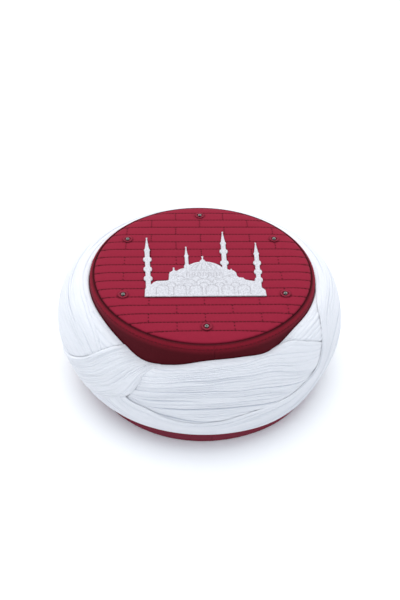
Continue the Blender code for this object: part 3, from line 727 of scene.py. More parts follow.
# %% Crown underside and sides
UNDER_STEPS = np.arange(-0.07, 0.0701, 0.010)
UNDER_REACH, UNDER_ROOM = 0.076, 0.004  # from the middle, and round each eyelet
grid = np.array([(x, y) for x in UNDER_STEPS for y in UNDER_STEPS])
grid = grid[(np.hypot(*grid.T) < UNDER_REACH) & (from_eyelet(grid) > UNDER_ROOM)]
lower_flat, lower_faces = flat_triangles([tuple(upper_flat[i]) for i in rim_points]
                                         + list(map(tuple, grid)))
lower_index = {(round(float(x), 6), round(float(y), 6)): i
               for i, (x, y) in enumerate(lower_flat)}
base = len(upper_flat)
crown_faces = [list(map(int, face)) for face in upper_faces]
crown_faces += [[int(i) + base for i in face[::-1]] for face in lower_faces]
for a, b in rim_edges:
    under = [lower_index[tuple(np.round(upper_flat[i], 6))] + base for i in (a, b)]
    crown_faces.append([b, a, under[0], under[1]])
start_height = crown_height(*upper_flat.T, SWELL_START)
crown_start = np.vstack([np.column_stack([upper_flat, start_height]),
                         np.column_stack([lower_flat, np.full(len(lower_flat), PANEL_BOTTOM)])])
crown = new_piece("quilted_crown", crown_start, crown_faces, crown_cloth)

# %% [markdown]
# The stitched points are found by their place: on a strip's line, at the edge or round an eyelet.
# They and the underside are pinned. Pressure acts for twenty frames without gravity, and no point
# may move more than a small cap, so the pad keeps to its frame.

# %% Swell the crown
SWELL_CAP, FRAMES = 0.0009, 20
CLOTH_SETTINGS = {
    "vertex_group_mass": "stitched", "quality": 5, "mass": 0.3, "tension_stiffness": 15.0,
    "compression_stiffness": 15.0, "shear_stiffness": 5.0, "bending_stiffness": 0.4,
    "use_pressure": True, "uniform_pressure_force": 4.0,
}
STITCHED_LINE, STITCHED_EDGE, STITCHED_HOLE = 0.00005, 0.0008, 0.0018  # held beside each of them
SEAM_SHADE, PALER_EDGE = 0.0003, 0.0001  # reach of the painted shade along the seams, weaker at the crown's edge


def swell(piece, pinned, cap):
    """Swell a closed pad between its pinned points by cloth simulation, then keep the result."""
    rest = np.array([tuple(v.co) for v in piece.data.vertices])
    group = piece.vertex_groups.new(name="stitched")
    group.add([int(i) for i in np.flatnonzero(pinned)], 1.0, "REPLACE")
    cloth = piece.modifiers.new("Swell", "CLOTH")
    for key, value in CLOTH_SETTINGS.items():
        setattr(cloth.settings, key, value)
    cloth.settings.effector_weights.gravity = 0.0
    cloth.collision_settings.use_collision = False
    cloth.point_cache.frame_start, cloth.point_cache.frame_end = 1, FRAMES
    for number in range(1, FRAMES + 1):
        scene.frame_set(number)
    evaluated = piece.evaluated_get(bpy.context.evaluated_depsgraph_get())
    moved = np.array([tuple(v.co) for v in evaluated.data.vertices]) - rest
    piece.modifiers.remove(cloth)
    piece.vertex_groups.clear()
    scene.frame_set(1)
    length = np.linalg.norm(moved, axis=1)
    factor = np.minimum(1.0, cap / np.maximum(length, 1e-9))
    piece.data.vertices.foreach_set("co", (rest + moved * factor[:, None]).ravel())
    piece.data.update()
    print("swelled by up to", round(float(length.max()) * 1000, 2), "mm, capped at", cap * 1000)


line_gap = np.min([np.abs(upper_flat[:, 1] - line) for line in strip_lines], axis=0)
edge_gap = PANEL_RADIUS - np.hypot(*upper_flat.T)
eyelet_gap = from_eyelet(upper_flat)
stitched = ((line_gap < STITCHED_LINE) | (edge_gap < STITCHED_EDGE)
            | (eyelet_gap < EYELET_HOLE + STITCHED_HOLE))
swell(crown, np.append(stitched, np.full(len(lower_flat), True)), SWELL_CAP)
# The seam mark is painted shade in the stitched grooves, at the crown's edge and round each eyelet.
seam_shade_gap = np.min([line_gap, np.maximum(edge_gap, 0.0) + PALER_EDGE,
                   np.abs(eyelet_gap - RING_EDGE)], axis=0)
mark(crown, "seam", np.append(np.exp(-seam_shade_gap / SEAM_SHADE), np.zeros(len(lower_flat))))
keep(crown, "crown_cloth", "crown_panel")

# %% [markdown]
# ## Pleated cloth
# Each pass of the white cloth is many layers drawn together, so it shows long soft pleats with a
# thin dark crease between them. Cloth simulation would not lay them along the pass, so a pass is
# built row by row instead: rows of points follow every crease, the cloth dips steeply on one side
# of it and slowly on the other, as one pleat lies over the next, and seeded waves make the creases
# wander and fade.
# Painted shade darkens the cloth's colour along each crease.

# %% Pleat helpers
STEEP, SLOW = 0.00018, 0.0015  # how fast the cloth rises on the two sides of a crease
ROW_REACH = (0.0, 0.00018, 0.0005, 0.0012)  # rows beside a crease
ROW_SHARE = (0.0, 0.07, 0.18, 0.34)  # and the most that they may be, as shares of the pleat
LINING_EVERY = 8  # rows of the outside for each row of the inside
UNEVEN_WIDTH, DEEPEST = 0.25, 0.0011  # of the pleats round the wall
SHADE_REACH, SHADE_DEPTH = 0.00030, 0.0016  # reach of a crease's painted shade, and the crease depth at which it is full


def all_round(count):
    """Azimuths at even steps all the way round."""
    return -180.0 + 360.0 * np.arange(count) / count


def drift(random, along, low, high, count=4):
    """A seeded smooth wave along the pass, roughly from -1 to 1, with whole turns per round."""
    total = np.zeros_like(along)
    for _ in range(count):
        turns = random.integers(low, high + 1)
        total += np.sin(turns * along + random.uniform(0.0, math.tau))
    return total / math.sqrt(count)


def broad_folds(seed, azimuth, across, low, high, rows, count=7):
    """Seeded soft hills over the whole pass, long along it and short across it."""
    random = np.random.default_rng(seed)
    along = np.radians(azimuth)
    total = np.zeros(np.broadcast(along, across).shape)
    for _ in range(count):
        turns = random.integers(low, high + 1)
        waves = random.uniform(*rows) * math.tau
        total += np.sin(turns * along + waves * across + random.uniform(0.0, math.tau))
    return total / math.sqrt(count)


def columns(count, make):
    """Values along a pass for each of its pleats or creases, made one after another."""
    return np.stack([make() for _ in range(count)], axis=1)


def inner_part(value, margin):
    """From 0 at both ends of 0 to 1 up to 1 further in than a margin."""
    return ease(value / margin) * ease((1.0 - value) / margin)


def shared_out(widths):
    """Edges of the pleats, as shares across the pass, from their widths."""
    edges = np.cumsum(widths, axis=1)
    edges = np.concatenate([np.zeros((len(edges), 1)), edges], axis=1)
    return edges / edges[:, -1:]


def roll_over(part):
    """How far a rolled edge has gone round, 1 at the very edge and 0 a roll's width inside."""
    part = np.clip(part, 0.0, 1.0)
    return 1.0 - np.sqrt(1.0 - (1.0 - part) ** 2)


def pleat_rows(edges, width):
    """Rows of points that follow the creases: share across, and distance from the low edge."""
    rows, travelled, distances = [], np.zeros(len(edges)), []
    for k in range(width.shape[1]):
        wide = width[:, k]
        near = [np.minimum(reach / wide, most) for reach, most in zip(ROW_REACH, ROW_SHARE)]
        steps = near + [np.full_like(wide, 0.5)] + [1.0 - part for part in near[:0:-1]]
        for t in steps:
            rows.append(edges[:, k] + t * (edges[:, k + 1] - edges[:, k]))
            distances.append(travelled + t * wide)
        travelled = travelled + wide
    rows.append(edges[:, -1])
    distances.append(travelled)
    return np.stack(rows, axis=1), np.stack(distances, axis=1)


def crease_shade(distance, creases, depths):
    """From 0 to 1, how much painted shade the cloth's finish gives each point near a crease."""
    shade = np.zeros_like(distance)
    for k in range(creases.shape[1]):
        line = np.exp(-np.abs(distance - creases[:, k:k + 1]) / SHADE_REACH)
        shade = np.maximum(shade, line * np.clip(depths[:, k:k + 1] / SHADE_DEPTH, 0.0, 1.0))
    return shade


def pleat_relief(distance, creases, depths, leans, plump, tilts):
    """Height of the pleats: creases dip, and each pleat swells and tilts between two of them."""
    relief = np.zeros_like(distance)
    for k, lean in enumerate(leans):
        away = distance - creases[:, k:k + 1]
        reach = np.where(away > 0, *((STEEP, SLOW) if lean > 0 else (SLOW, STEEP)))
        relief -= depths[:, k:k + 1] * np.exp(-np.abs(away) / reach)
    for k, tilt in enumerate(tilts):
        wide = np.maximum(creases[:, k + 1:k + 2] - creases[:, k:k + 1], 1e-6)
        t = np.clip((distance - creases[:, k:k + 1]) / wide, 0.0, 1.0)
        relief += plump * wide * 4.0 * t * (1.0 - t)
        relief += tilt * wide * (t - 0.5) * inner_part(t, 0.08)
    return relief


def outward(points, closed):
    """Unit normals of a grid of points, the first axis along the pass."""
    if closed:
        along = np.roll(points, -1, axis=0) - np.roll(points, 1, axis=0)
    else:
        along = np.gradient(points, axis=0)
    across = np.gradient(points, axis=1)
    normal = np.cross(along, across)
    normal /= np.maximum(np.linalg.norm(normal, axis=2, keepdims=True), 1e-12)
    middle = points.shape[0] // 2, points.shape[1] // 2
    out = points[middle][:2] @ normal[middle][:2]
    return normal if out > 0 else -normal


# %% Pleated shell
FULL_CREASE = 0.0015  # pleats narrower than this have shallower creases
POLE_MARGIN, POLE_RELIEF = 0.05, 0.15  # the relief is weaker near the ring's foot and top
END_RELIEF = 0.0008  # and it starts this far inside a pass's edges


def shell_faces(count, rows, kept, closed):
    """Quads round each section of a shell, with caps at its ends unless it runs round."""
    size = rows + len(kept)
    faces = tube_faces(count, size, closed)
    if closed:
        return faces
    nearest = [int(np.argmin(np.abs(np.array(kept) - row))) for row in range(rows)]
    for start, way in ((0, -1), ((count - 1) * size, 1)):
        for j in range(rows - 1):
            corners = [j, j + 1, size - 1 - nearest[j + 1]]
            if nearest[j] != nearest[j + 1]:
                corners.append(size - 1 - nearest[j])
            faces.append([start + corner for corner in corners][::way])
    return faces


def pleated_shell(name, stations, place, level, lining, edges, depths, random, leaning, tilting,
                  plump, rolls, closed, shaped):
    """A pass of cloth as a closed shell, pleated on its outside, smooth on its inside."""
    leans = random.choice(leaning, edges.shape[1])
    tilts = random.uniform(-tilting, tilting, edges.shape[1] - 1)
    marks = [place(stations, edges[:, k]) for k in range(edges.shape[1])]
    marks = np.stack([wrap_point(a, s, level(a, s)) for a, s in marks], axis=1)
    width = np.maximum(np.linalg.norm(np.diff(marks, axis=1), axis=2), 1e-5)
    creases = np.concatenate([np.zeros((len(width), 1)), np.cumsum(width, axis=1)], axis=1)
    rows, distance = pleat_rows(edges, width)
    beside = np.concatenate([width[:, :1], np.minimum(width[:, 1:], width[:, :-1]),
                             width[:, -1:]], axis=1)
    depths = depths * ease(beside / FULL_CREASE)
    relief = pleat_relief(distance, creases, depths, leans, plump, tilts)
    azimuth, share = np.broadcast_arrays(*place(stations[:, None], rows))
    outer, inner = level(azimuth, share), lining(azimuth, share)
    from_high = distance[:, -1:] - distance
    low_roll, high_roll = (np.asarray(r)[:, None] if np.ndim(r) else r for r in rolls)
    turned_in = np.maximum(roll_over(distance / low_roll), roll_over(from_high / high_roll))
    give = (inner - outer) / 2.0 * turned_in
    skin = wrap_point(azimuth, share, outer + give)
    relief = relief + shaped(azimuth, share, distance, from_high)
    relief = relief * (POLE_RELIEF + (1.0 - POLE_RELIEF) * inner_part(share, POLE_MARGIN))
    relief = relief * ease(np.minimum(distance, from_high) / END_RELIEF)
    skin = skin + outward(skin, closed) * relief[..., None]
    kept = list(range(LINING_EVERY // 2, rows.shape[1] - 1, LINING_EVERY))
    back = wrap_point(azimuth, share, inner - give)[:, kept[::-1]]
    points = np.concatenate([skin, back], axis=1)
    count, size = points.shape[:2]
    faces = shell_faces(count, rows.shape[1], kept, closed)
    middle = marks[:, marks.shape[1] // 2]
    steps = np.linalg.norm(np.diff(np.concatenate([middle, middle[:1]]), axis=0), axis=1)
    along = np.concatenate([[0.0], np.cumsum(steps)])
    over = np.concatenate([distance, distance[:, kept[::-1]]], axis=1)
    uvs = []
    for face in faces:
        seam = closed and {v // size for v in face} == {0, count - 1}
        uvs.append([(along[count if seam and v // size == 0 else v // size],
                     over[v // size, v % size]) for v in face])
    piece = new_piece(name, points.reshape(-1, 3), faces, white_cloth, uvs)
    # The crease mark is painted shade along each crease.
    shade = np.zeros(points.shape[:2])
    shade[:, :rows.shape[1]] = crease_shade(distance, creases, depths)
    mark(piece, "crease", shade.ravel())
    return piece


# %% [markdown]
# ## The first turns
# The first turns of the cloth are wound straight round the wall. Only their upper side shows, as
# flat strips between the later passes and the cap at the left and the right. Where a later pass
# covers them they lie deeper, and beside it they come up almost to its surface.

# %% First turns
COVERED = 2 * LAYER  # how deep the first turns lie under later passes
SHOWN = 0.0004  # and where they show
UNDER_EDGE = 0.0016  # just under the front pass's upper edge
DIP = 0.012  # over this length they sink from one to the other
CORE_THICKNESS = 0.0035
CORE_PLEATS, CORE_DEPTH, CORE_FOLDS, ROUND = 24, 0.0004, 0.0003, 440
FRONT_FROM, FRONT_TO = FRONT_EDGE[0][0], FRONT_EDGE[-1][0]
random = np.random.default_rng(11)
around = all_round(ROUND)
turn = np.radians(around)
core_widths = columns(CORE_PLEATS, lambda: np.exp(UNEVEN_WIDTH * drift(random, turn, 1, 4)))
core_depths = columns(CORE_PLEATS + 1, lambda: np.clip(
    CORE_DEPTH * (0.55 + 0.45 * drift(random, turn, 2, 7)), 0.00005, DEEPEST))


def core_level(azimuth, share):
    """How deep the first turns lie at each point."""
    under_band = ease(inside_edge(band_edge, azimuth, share) / DIP)
    deep = np.maximum(under_band, pressed_down(azimuth, share) / PRESSED)
    below = inside_edge(front_edge, azimuth, share)
    here = ease((azimuth - FRONT_FROM + 2.0) / 3.0) * ease((FRONT_TO + 1.0 - azimuth) / 3.0)
    at_edge = (UNDER_EDGE - SHOWN) * ease(below / 0.001 + 1.0)
    under_front = SHOWN + here * (at_edge + (COVERED - UNDER_EDGE) * ease(below / DIP))
    return np.maximum(SHOWN + (COVERED - SHOWN) * deep, under_front)


def core_lining(azimuth, share):
    """The inner side of the first turns, at an even depth over the wall."""
    return np.full(np.broadcast(azimuth, share).shape, COVERED + CORE_THICKNESS)


def core_shape(azimuth, share, distance, from_high):
    """Broad soft unevenness of the first turns."""
    return CORE_FOLDS * broad_folds(12, azimuth, share, 1, 5, (1.0, 3.0))


under = pleated_shell(
    "first_turns", around, lambda a, v: (a, v), core_level, core_lining, shared_out(core_widths),
    core_depths, random, (-1, 1), 0.05, 0.04, (0.001, 0.001), True, core_shape)
keep(under, "white_cloth", "under_wrap")

# %% [markdown]
# ## The front pass
# The pass across the front is the most pleated one. Its creases start under the crossing fold at
# the left, run nearly level across the front, and dive under the outer band at the right. The
# main ones are placed after the photograph, and finer ones split the room between them evenly. It
# comes up beside the band's edge, and sinks under it to make room.

# %% Front creases


def along_line(line, azimuth):
    """Height in metres of a traced line, straight between its points, with its corners rounded."""
    heights = [np.interp(azimuth + shift, *np.transpose(line)) for shift in LINE_ROUNDING]
    return np.mean(heights, axis=0) * MM


def share_at(azimuth, height):
    """The share at which the cloth's outermost surface has a height."""
    _, foot, top = ring_section(azimuth)
    return 0.5 + np.arcsin(np.clip((2 * height - foot - top) / (top - foot), -1, 1)) / math.pi


FRONT_LINES = (  # azimuths and heights in mm, from the band up
    ((-34, 42.5), (-15, 36), (-4, 33), (8, 32.5), (19, 34), (29, 35.5)),
    ((-34, 43.5), (-20, 38.5), (-8, 38.5), (4, 39.5), (14, 40), (26, 36.5)),
    ((-34, 44.5), (-25, 41.5), (-14, 44.5), (0, 46.5), (14, 45.5), (29, 39)),
    ((-34, 46), (-26, 44.5), (-8, 50.5), (5, 51.5), (18, 49.5), (33, 41.5)),
    ((-34, 49.5), (-28, 48.5), (-12, 55.5), (3, 57.5), (24, 52.5), (38, 40.5)),
    ((-34, 53), (-27, 53.5), (-13, 59), (2, 62), (21, 58), (43, 45)),
    ((-34, 56), (-26, 56.5), (-8, 65), (9, 68), (29, 63), (48, 48.5)),
    ((-34, 59), (-25, 60), (-8, 68.5), (10, 71), (29, 66.5), (51, 48.5)),
    ((-34, 63), (-25, 64), (-10, 71), (-2, 74), (10, 75.5), (30, 71.5), (54, 56)),
    ((-34, 68), (-20, 70), (-8, 74.5), (5, 77.5), (20, 77), (31, 75.5), (41, 73), (55, 61)),
)
FRONT_LOW = ((-34, 0.46), (-27, 0.42), (-20, 0.38), (-12, 0.35), (0, 0.33), (16, 0.27), (34, 0.25),
             (46, 0.25), (52, 0.30), (58, 0.38), (62, 0.45))  # its edge hidden under the band
FINER = (2, 2, 3, 2, 2, 3, 3, 2, 3, 2, 2)  # pleats from one main crease to the next, from the band up
FRONT_STATIONS = 250
MAIN_DEPTH, FINE_DEPTH, FRONT_DEEPEST = 0.0010, 0.00062, 0.0012
QUIET_RIGHT = ((-34, 1.0), (15, 1.0), (32, 0.85), (62, 0.7))
CREASE_SHARE = (1.0, 0.9, 0.8, 1.3, 1.0, 0.8, 1.05, 0.7, 0.8, 0.45, 0.4)  # of the depth, likewise
LINE_ROUNDING = np.linspace(-4.0, 4.0, 9)  # degrees, over which a traced line's corners are rounded
random = np.random.default_rng(21)
front_at = np.linspace(FRONT_FROM, FRONT_TO, FRONT_STATIONS)
front_low, front_high = on_curve(FRONT_LOW, front_at), front_edge(front_at)
turn = np.radians(front_at)
main = [(share_at(front_at, along_line(line, front_at)) - front_low) / (front_high - front_low)
        for line in FRONT_LINES]
main = [np.zeros(FRONT_STATIONS)] + main + [np.ones(FRONT_STATIONS)]
for k in range(1, len(main) - 1):
    main[k] = np.maximum(main[k], main[k - 1] + 0.02)
for k in range(len(main) - 2, 0, -1):
    main[k] = np.minimum(main[k], main[k + 1] - 0.012)
front_edges, front_depths = [], []
for k, (low, high) in enumerate(zip(main, main[1:])):
    for part in range(FINER[k]):
        sway = 0.05 * drift(random, turn, 1, 3) if part else 0.0
        front_edges.append(low + (part + sway) / FINER[k] * (high - low))
        depth = FINE_DEPTH * CREASE_SHARE[k] * (0.55 + 0.65 * drift(random, turn, 3, 11))
        if part == 0:
            depth = MAIN_DEPTH * CREASE_SHARE[k] * (0.8 + 0.25 * drift(random, turn, 3, 9))
        depth = depth * on_curve(QUIET_RIGHT, front_at)
        front_depths.append(np.clip(depth, 0.0, FRONT_DEEPEST))
front_edges = np.stack(front_edges + [main[-1]], axis=1)
front_depths = np.stack(front_depths + [np.zeros(FRONT_STATIONS)], axis=1)
front_depths[:, 0] = 0.0
print("front pass:", front_edges.shape[1] - 1, "pleats")

# %% Front pass
FRONT_SINK = ((-34, 0.6), (-28, 0.4), (-15, 0.3), (0, 0.2), (15, 0.2), (30, 0.3), (45, 0.3),
              (62, 0.35))  # mm below the band's surface, beside it
THIN_EDGE = 0.0006  # thickness of a pass at its free edge
FRONT_TUCK, TUCK_TURN = 50.0, 6.0  # degrees, from where it lies deeper, and over how many
FRONT_UNDER, FRONT_FOLDS = 0.010, 0.0002  # it sinks under the band over this length


def front_place(azimuth, share):
    """Place on the front pass from its lower edge, hidden in the band, to its upper one."""
    low, high = on_curve(FRONT_LOW, azimuth), front_edge(azimuth)
    return azimuth, low + share * (high - low)


def front_level(azimuth, share):
    """How deep the front pass lies: nearly flush where it shows, one layer down elsewhere."""
    shown = on_curve(FRONT_SINK, azimuth) * MM
    under = ease(inside_edge(band_edge, azimuth, share) / FRONT_UNDER)
    under = np.maximum(under, pressed_down(azimuth, share) / PRESSED)
    tucked = COVER_GAP * ease((azimuth - FRONT_TUCK) / TUCK_TURN)
    return shown + (LAYER + tucked - shown) * under


def front_lining(azimuth, share):
    """The inner side of the front pass, thinner towards its free edge."""
    thin = front_level(azimuth, share) + THIN_EDGE
    return thin + (LAYER + PLY - thin) * ease(inside_edge(front_edge, azimuth, share) / DIP)


def front_shape(azimuth, share, distance, from_high):
    """Broad soft unevenness across the front."""
    return FRONT_FOLDS * broad_folds(22, azimuth, share, 2, 5, (1.0, 3.0))


front = pleated_shell(
    "front_pass", front_at, front_place, front_level, front_lining, front_edges, front_depths,
    random, (-1, 1, 1), 0.09, 0.045, (0.0012, 0.0012), False, front_shape)
keep(front, "white_cloth", "front_wrap")

# %% [markdown]
# ## The outer band
# The outer band goes all the way round. Its creases run along it, closer together where it is
# drawn narrow at the front, where it makes a smooth roll with hardly a crease. Its upper edge is
# thin and lies almost flush with the front pass, so one seems to flow into the other.

# %% Outer band
BAND_STATIONS, BAND_PLEATS, BAND_DEPTH, BAND_FOLDS = 384, 28, 0.0008, 0.0005
THINNING = 0.009  # the length over which the band gets thinner towards its edge
random = np.random.default_rng(31)
band_at = all_round(BAND_STATIONS)
turn = np.radians(band_at)
QUIET_FRONT = ((-180, 1.0), (-80, 1.2), (-60, 1.0), (-40, 0.5), (-20, 0.25), (0, 0.35),
               (25, 0.5), (45, 0.8), (70, 1.0), (150, 1.0))
EDGE_ROLL = ((-180, 1.0), (-60, 1.0), (-40, 1.5), (-28, 1.6), (-15, 3.0), (0, 4.0), (20, 3.0),
             (34, 1.6), (45, 0.8), (75, 0.8), (150, 1.0))  # mm
EDGE_PLY = ((-180, 0.9), (-60, 0.8), (-40, 0.6), (-20, 0.3), (-5, 0.15), (20, 0.15), (34, 0.2),
            (60, 0.25), (75, 0.35), (95, 0.8), (150, 0.9))  # mm, the band's thickness at its upper edge
liveliness = on_curve(QUIET_FRONT, band_at)
band_widths = columns(BAND_PLEATS, lambda: np.exp(UNEVEN_WIDTH * drift(random, turn, 1, 3)))
band_depths = columns(BAND_PLEATS + 1, lambda: np.clip(
    BAND_DEPTH * liveliness * (0.5 + 0.6 * drift(random, turn, 2, 8)), 0.0, DEEPEST))
band_depths[:, 0] = band_depths[:, -1] = 0.0


def band_place(azimuth, share):
    """Place on the band from its foot to its upper edge."""
    return azimuth, share * band_edge(azimuth)


def band_lining(azimuth, share):
    """The band's inner side, thinner towards its upper edge."""
    thin = on_curve(EDGE_PLY, azimuth) * MM
    within = ease(inside_edge(band_edge, azimuth, share) / THINNING)
    return pressed_down(azimuth, share) + thin + (PLY - thin) * within


def band_shape(azimuth, share, distance, from_high):
    """Broad soft unevenness of the band, held flat under the crossing fold."""
    free = 1.0 - 0.9 * pressed_down(azimuth, share) / PRESSED
    return BAND_FOLDS * free * broad_folds(32, azimuth, share, 1, 5, (1.0, 2.5))


band = pleated_shell(
    "outer_band", band_at, band_place, pressed_down, band_lining, shared_out(band_widths),
    band_depths, random, (-1, 1), 0.05, 0.04, (0.001, on_curve(EDGE_ROLL, band_at) * MM), True,
    band_shape)
keep(band, "white_cloth", "outer_wrap")

# %% [markdown]
# ## The crossing fold
# The end of the cloth is drawn from the cap down over the band to the left and tucked away under
# it. It fans out as it goes. It has a rolled hem along its upper left edge, and its last pleat, at
# the right, is broad and smooth and stands over the front pass. Lower down that edge melts into
# the band's roll, so there the fold dips into the band's surface.

# %% Crossing fold
CROSS_STATIONS, CROSS_DEPTH, CROSS_FOLDS = 220, 0.00038, 0.00025
random = np.random.default_rng(41)
cross_at = np.linspace(0.0, 1.0, CROSS_STATIONS)
HEM_HEIGHT, HEM_CENTRE, HEM_REACH = 0.0006, 0.0024, 0.0016
LAST_HEIGHT, LAST_CENTRE, LAST_REACH = 0.0009, 0.0042, 0.0034
LAST_FROM, LAST_OVER = 0.45, 0.2  # shares, over which the last pleat rises
LOOK_ROUND = (-1.2, 0.0, 1.2)  # degrees
SUNK_EDGE, RIGHT_EDGE, LEFT_EDGE, FILM = 0.0009, 0.0005, 0.0001, 0.0003
LAST_TURN, HEM_TURN = 2.4, 1.4  # degrees, over which the edges turn down
CROSS_WIDTHS = (0.9, 0.6, 0.5, 0.8, 0.6, 0.9, 0.7, 0.8, 0.6, 1.0, 0.7, 0.9, 0.8, 0.9, 0.7, 0.8, 1.2)
cross_widths = np.stack([wide * np.exp(0.18 * drift(random, cross_at * 3.0, 1, 3))
                         for wide in CROSS_WIDTHS], axis=1)
cross_depths = columns(len(CROSS_WIDTHS) + 1, lambda: CROSS_DEPTH * np.clip(
    0.6 + 0.5 * drift(random, cross_at * 3.0, 1, 4), 0.05, 1))
cross_depths[:, 0] = cross_depths[:, -1] = 0.0


def cross_place(down, share):
    """Place on the crossing fold, down from the cap and across from its left edge."""
    height = CROSS_EDGES[0][0] + down * (CROSS_EDGES[-1][0] - CROSS_EDGES[0][0])
    left, right = on_curve(CROSS_EDGES, height), on_curve(CROSS_EDGES, height, 2)
    return left + share * (right - left), height + 0 * share


def cross_level(azimuth, share):
    """The fold stands over the band, and dips to what it lies on at its edges."""
    soft = melting(share)
    from_left = azimuth - on_curve(CROSS_EDGES, share)
    from_right = on_curve(CROSS_EDGES, share, 2) - azimuth
    right = 1.0 - ease(from_right / (LAST_TURN + (SOFT_EDGE - LAST_TURN) * soft))
    left = 1.0 - ease(from_left / HEM_TURN)
    sunk = RIGHT_EDGE + (SUNK_EDGE - RIGHT_EDGE) * soft
    return -CROSS_LIFT + (CROSS_LIFT + sunk) * right + (CROSS_LIFT - LEFT_EDGE) * left


def cross_lining(azimuth, share):
    """The fold's inner side, clear of the band that it presses down."""
    clear = np.min([pressed_down(azimuth + reach, share) for reach in LOOK_ROUND], axis=0)
    clear = clear - COVER_GAP
    return np.maximum(clear, cross_level(azimuth, share) + FILM)


def cross_shape(azimuth, share, distance, from_high):
    """The rolled hem at the left edge, the broad last pleat, and soft unevenness."""
    hem = HEM_HEIGHT * np.exp(-((distance - HEM_CENTRE) / HEM_REACH) ** 2)
    last = LAST_HEIGHT * np.exp(-((from_high - LAST_CENTRE) / LAST_REACH) ** 2)
    last = last * ease((share - LAST_FROM) / LAST_OVER)
    return hem + last + CROSS_FOLDS * broad_folds(42, azimuth, share, 2, 6, (1.0, 3.0))


cross = pleated_shell(
    "crossing_fold", cross_at, cross_place, cross_level, cross_lining, shared_out(cross_widths),
    cross_depths, random, (-1, 1, 1), 0.10, 0.05, (0.0014, 0.0018), False, cross_shape)
keep(cross, "white_cloth", "cross_fold")

# %% [markdown]
# ## The embroidered skyline
# The figure on the crown is satin-stitched in white thread: a domed mosque with four towers. It is
# drawn as a closed outline, filled with fine triangles, and raised by a height that depends on the
# distance to the outline and to the lines of its arches, so that its arches show as shallow
# valleys. The same distances are kept as attributes, so that the finish can darken the valleys.
# The darkened valleys are partly the needle holes' grey and partly painted shade.

# %% Skyline outline
FIGURE_WIDTH, FIGURE_HEIGHT, FIGURE_BASE = 0.0886, 0.0807, -0.0371
SHAFT_WIDTH, BALCONY_WIDTH, COLLAR_WIDTH, SPIRE_WIDTH = 0.0038, 0.0066, 0.0050, 0.0033
DOME_RADIUS, FINIAL_WIDTH = 0.0169, 0.0044
TOWERS = (  # axis at base and tip, left foot, right foot, collar, tip, width, balcony rims
    (-0.456, -0.497, 0.12, 0.163, 0.707, 0.898, 1.0, (0.286, 0.426, 0.574)),
    (-0.131, -0.143, 0.405, 0.462, 0.608, 0.745, 0.72, (0.46,)),
    (0.179, 0.198, 0.41, 0.385, 0.819, 1.0, 1.0, (0.519, 0.698)),
    (0.454, 0.487, 0.21, 0.113, 0.646, 0.81, 0.93, (0.258, 0.378, 0.515)),
)
LEFT_ROOFS = (
    (-0.422, 0.197), (-0.395, 0.217), (-0.31, 0.222), (-0.296, 0.229), (-0.293, 0.31),
    (-0.287, 0.344), (-0.264, 0.364), (-0.254, 0.415), (-0.24, 0.368), (-0.226, 0.364),
    (-0.208, 0.385), (-0.186, 0.399),
)
RIGHT_ROOFS = (
    (0.231, 0.373), (0.24, 0.392), (0.248, 0.372), (0.263, 0.363), (0.279, 0.338), (0.284, 0.29),
    (0.298, 0.263), (0.334, 0.259), (0.35, 0.23), (0.384, 0.219), (0.421, 0.209),
)
LEFT_BASE = ((-0.49, 0.0), (-0.49, 0.10))
RIGHT_BASE = ((0.494, 0.098), (0.506, 0.076), (0.506, 0.0))
DOME_LEFT, DOME_MIDDLE, DOME_RIGHT, DOME_APEX = -0.115, 0.008, 0.160, 0.506
FINIAL_PLACE, FINIAL_TIP = -0.001, 0.59
FINIAL_SIDE = ((1.0, 0.0), (0.92, 0.3), (0.75, 0.65), (0.45, 1.0), (0.28, 1.3), (0.16, 1.9))
BALCONY_SIDE = (  # mm over a balcony's top, and how far out it is there
    (-5.6, 0.0), (-4.8, 0.5), (-3.9, 0.84), (-2.9, 1.0), (-2.0, 0.98), (-1.2, 0.84), (-0.6, 0.7),
    (-0.1, 0.25), (0.2, 0.0),
)


def above(side, foot):
    """The stretch of a tower's side above a height, from the point where it crosses it."""
    kept = [point for point in side if point[1] > foot]
    low, high = side[len(side) - len(kept) - 1], kept[0]
    t = (foot - low[1]) / (high[1] - low[1])
    return [(low[0] + t * (high[0] - low[0]), foot)] + kept


def tower_outline(base_place, tip_place, left_foot, right_foot, collar, tip, width, balconies):
    """A slender tower's outline with rounded balconies and a hollow-sided spire."""
    shaft, rim, neck, spire = (size * width / 2 for size in (SHAFT_WIDTH, BALCONY_WIDTH,
                                                             COLLAR_WIDTH, SPIRE_WIDTH))
    side = [(shaft, 0.0)]
    for height in balconies:
        level = height * FIGURE_HEIGHT
        side += [(shaft + out * (rim - shaft), level + up * MM) for up, out in BALCONY_SIDE]
    level, top = collar * FIGURE_HEIGHT, tip * FIGURE_HEIGHT
    side += [(shaft, level - 1.3 * neck), (0.92 * neck, level - 0.85 * neck),
             (neck, level - 0.45 * neck), (1.1 * spire, level),
             (0.82 * spire, level + 0.27 * (top - level)),
             (0.50 * spire, level + 0.6 * (top - level)), (0.00025, top - 0.0003)]

    def axis(height):
        return FIGURE_WIDTH * (base_place + (tip_place - base_place) * height / top)

    left, right = ([(axis(height) + way * out, height)
                    for out, height in above(side, foot * FIGURE_HEIGHT)]
                   for way, foot in ((-1, left_foot), (1, right_foot)))
    return left + [(axis(top), top)] + right[::-1]


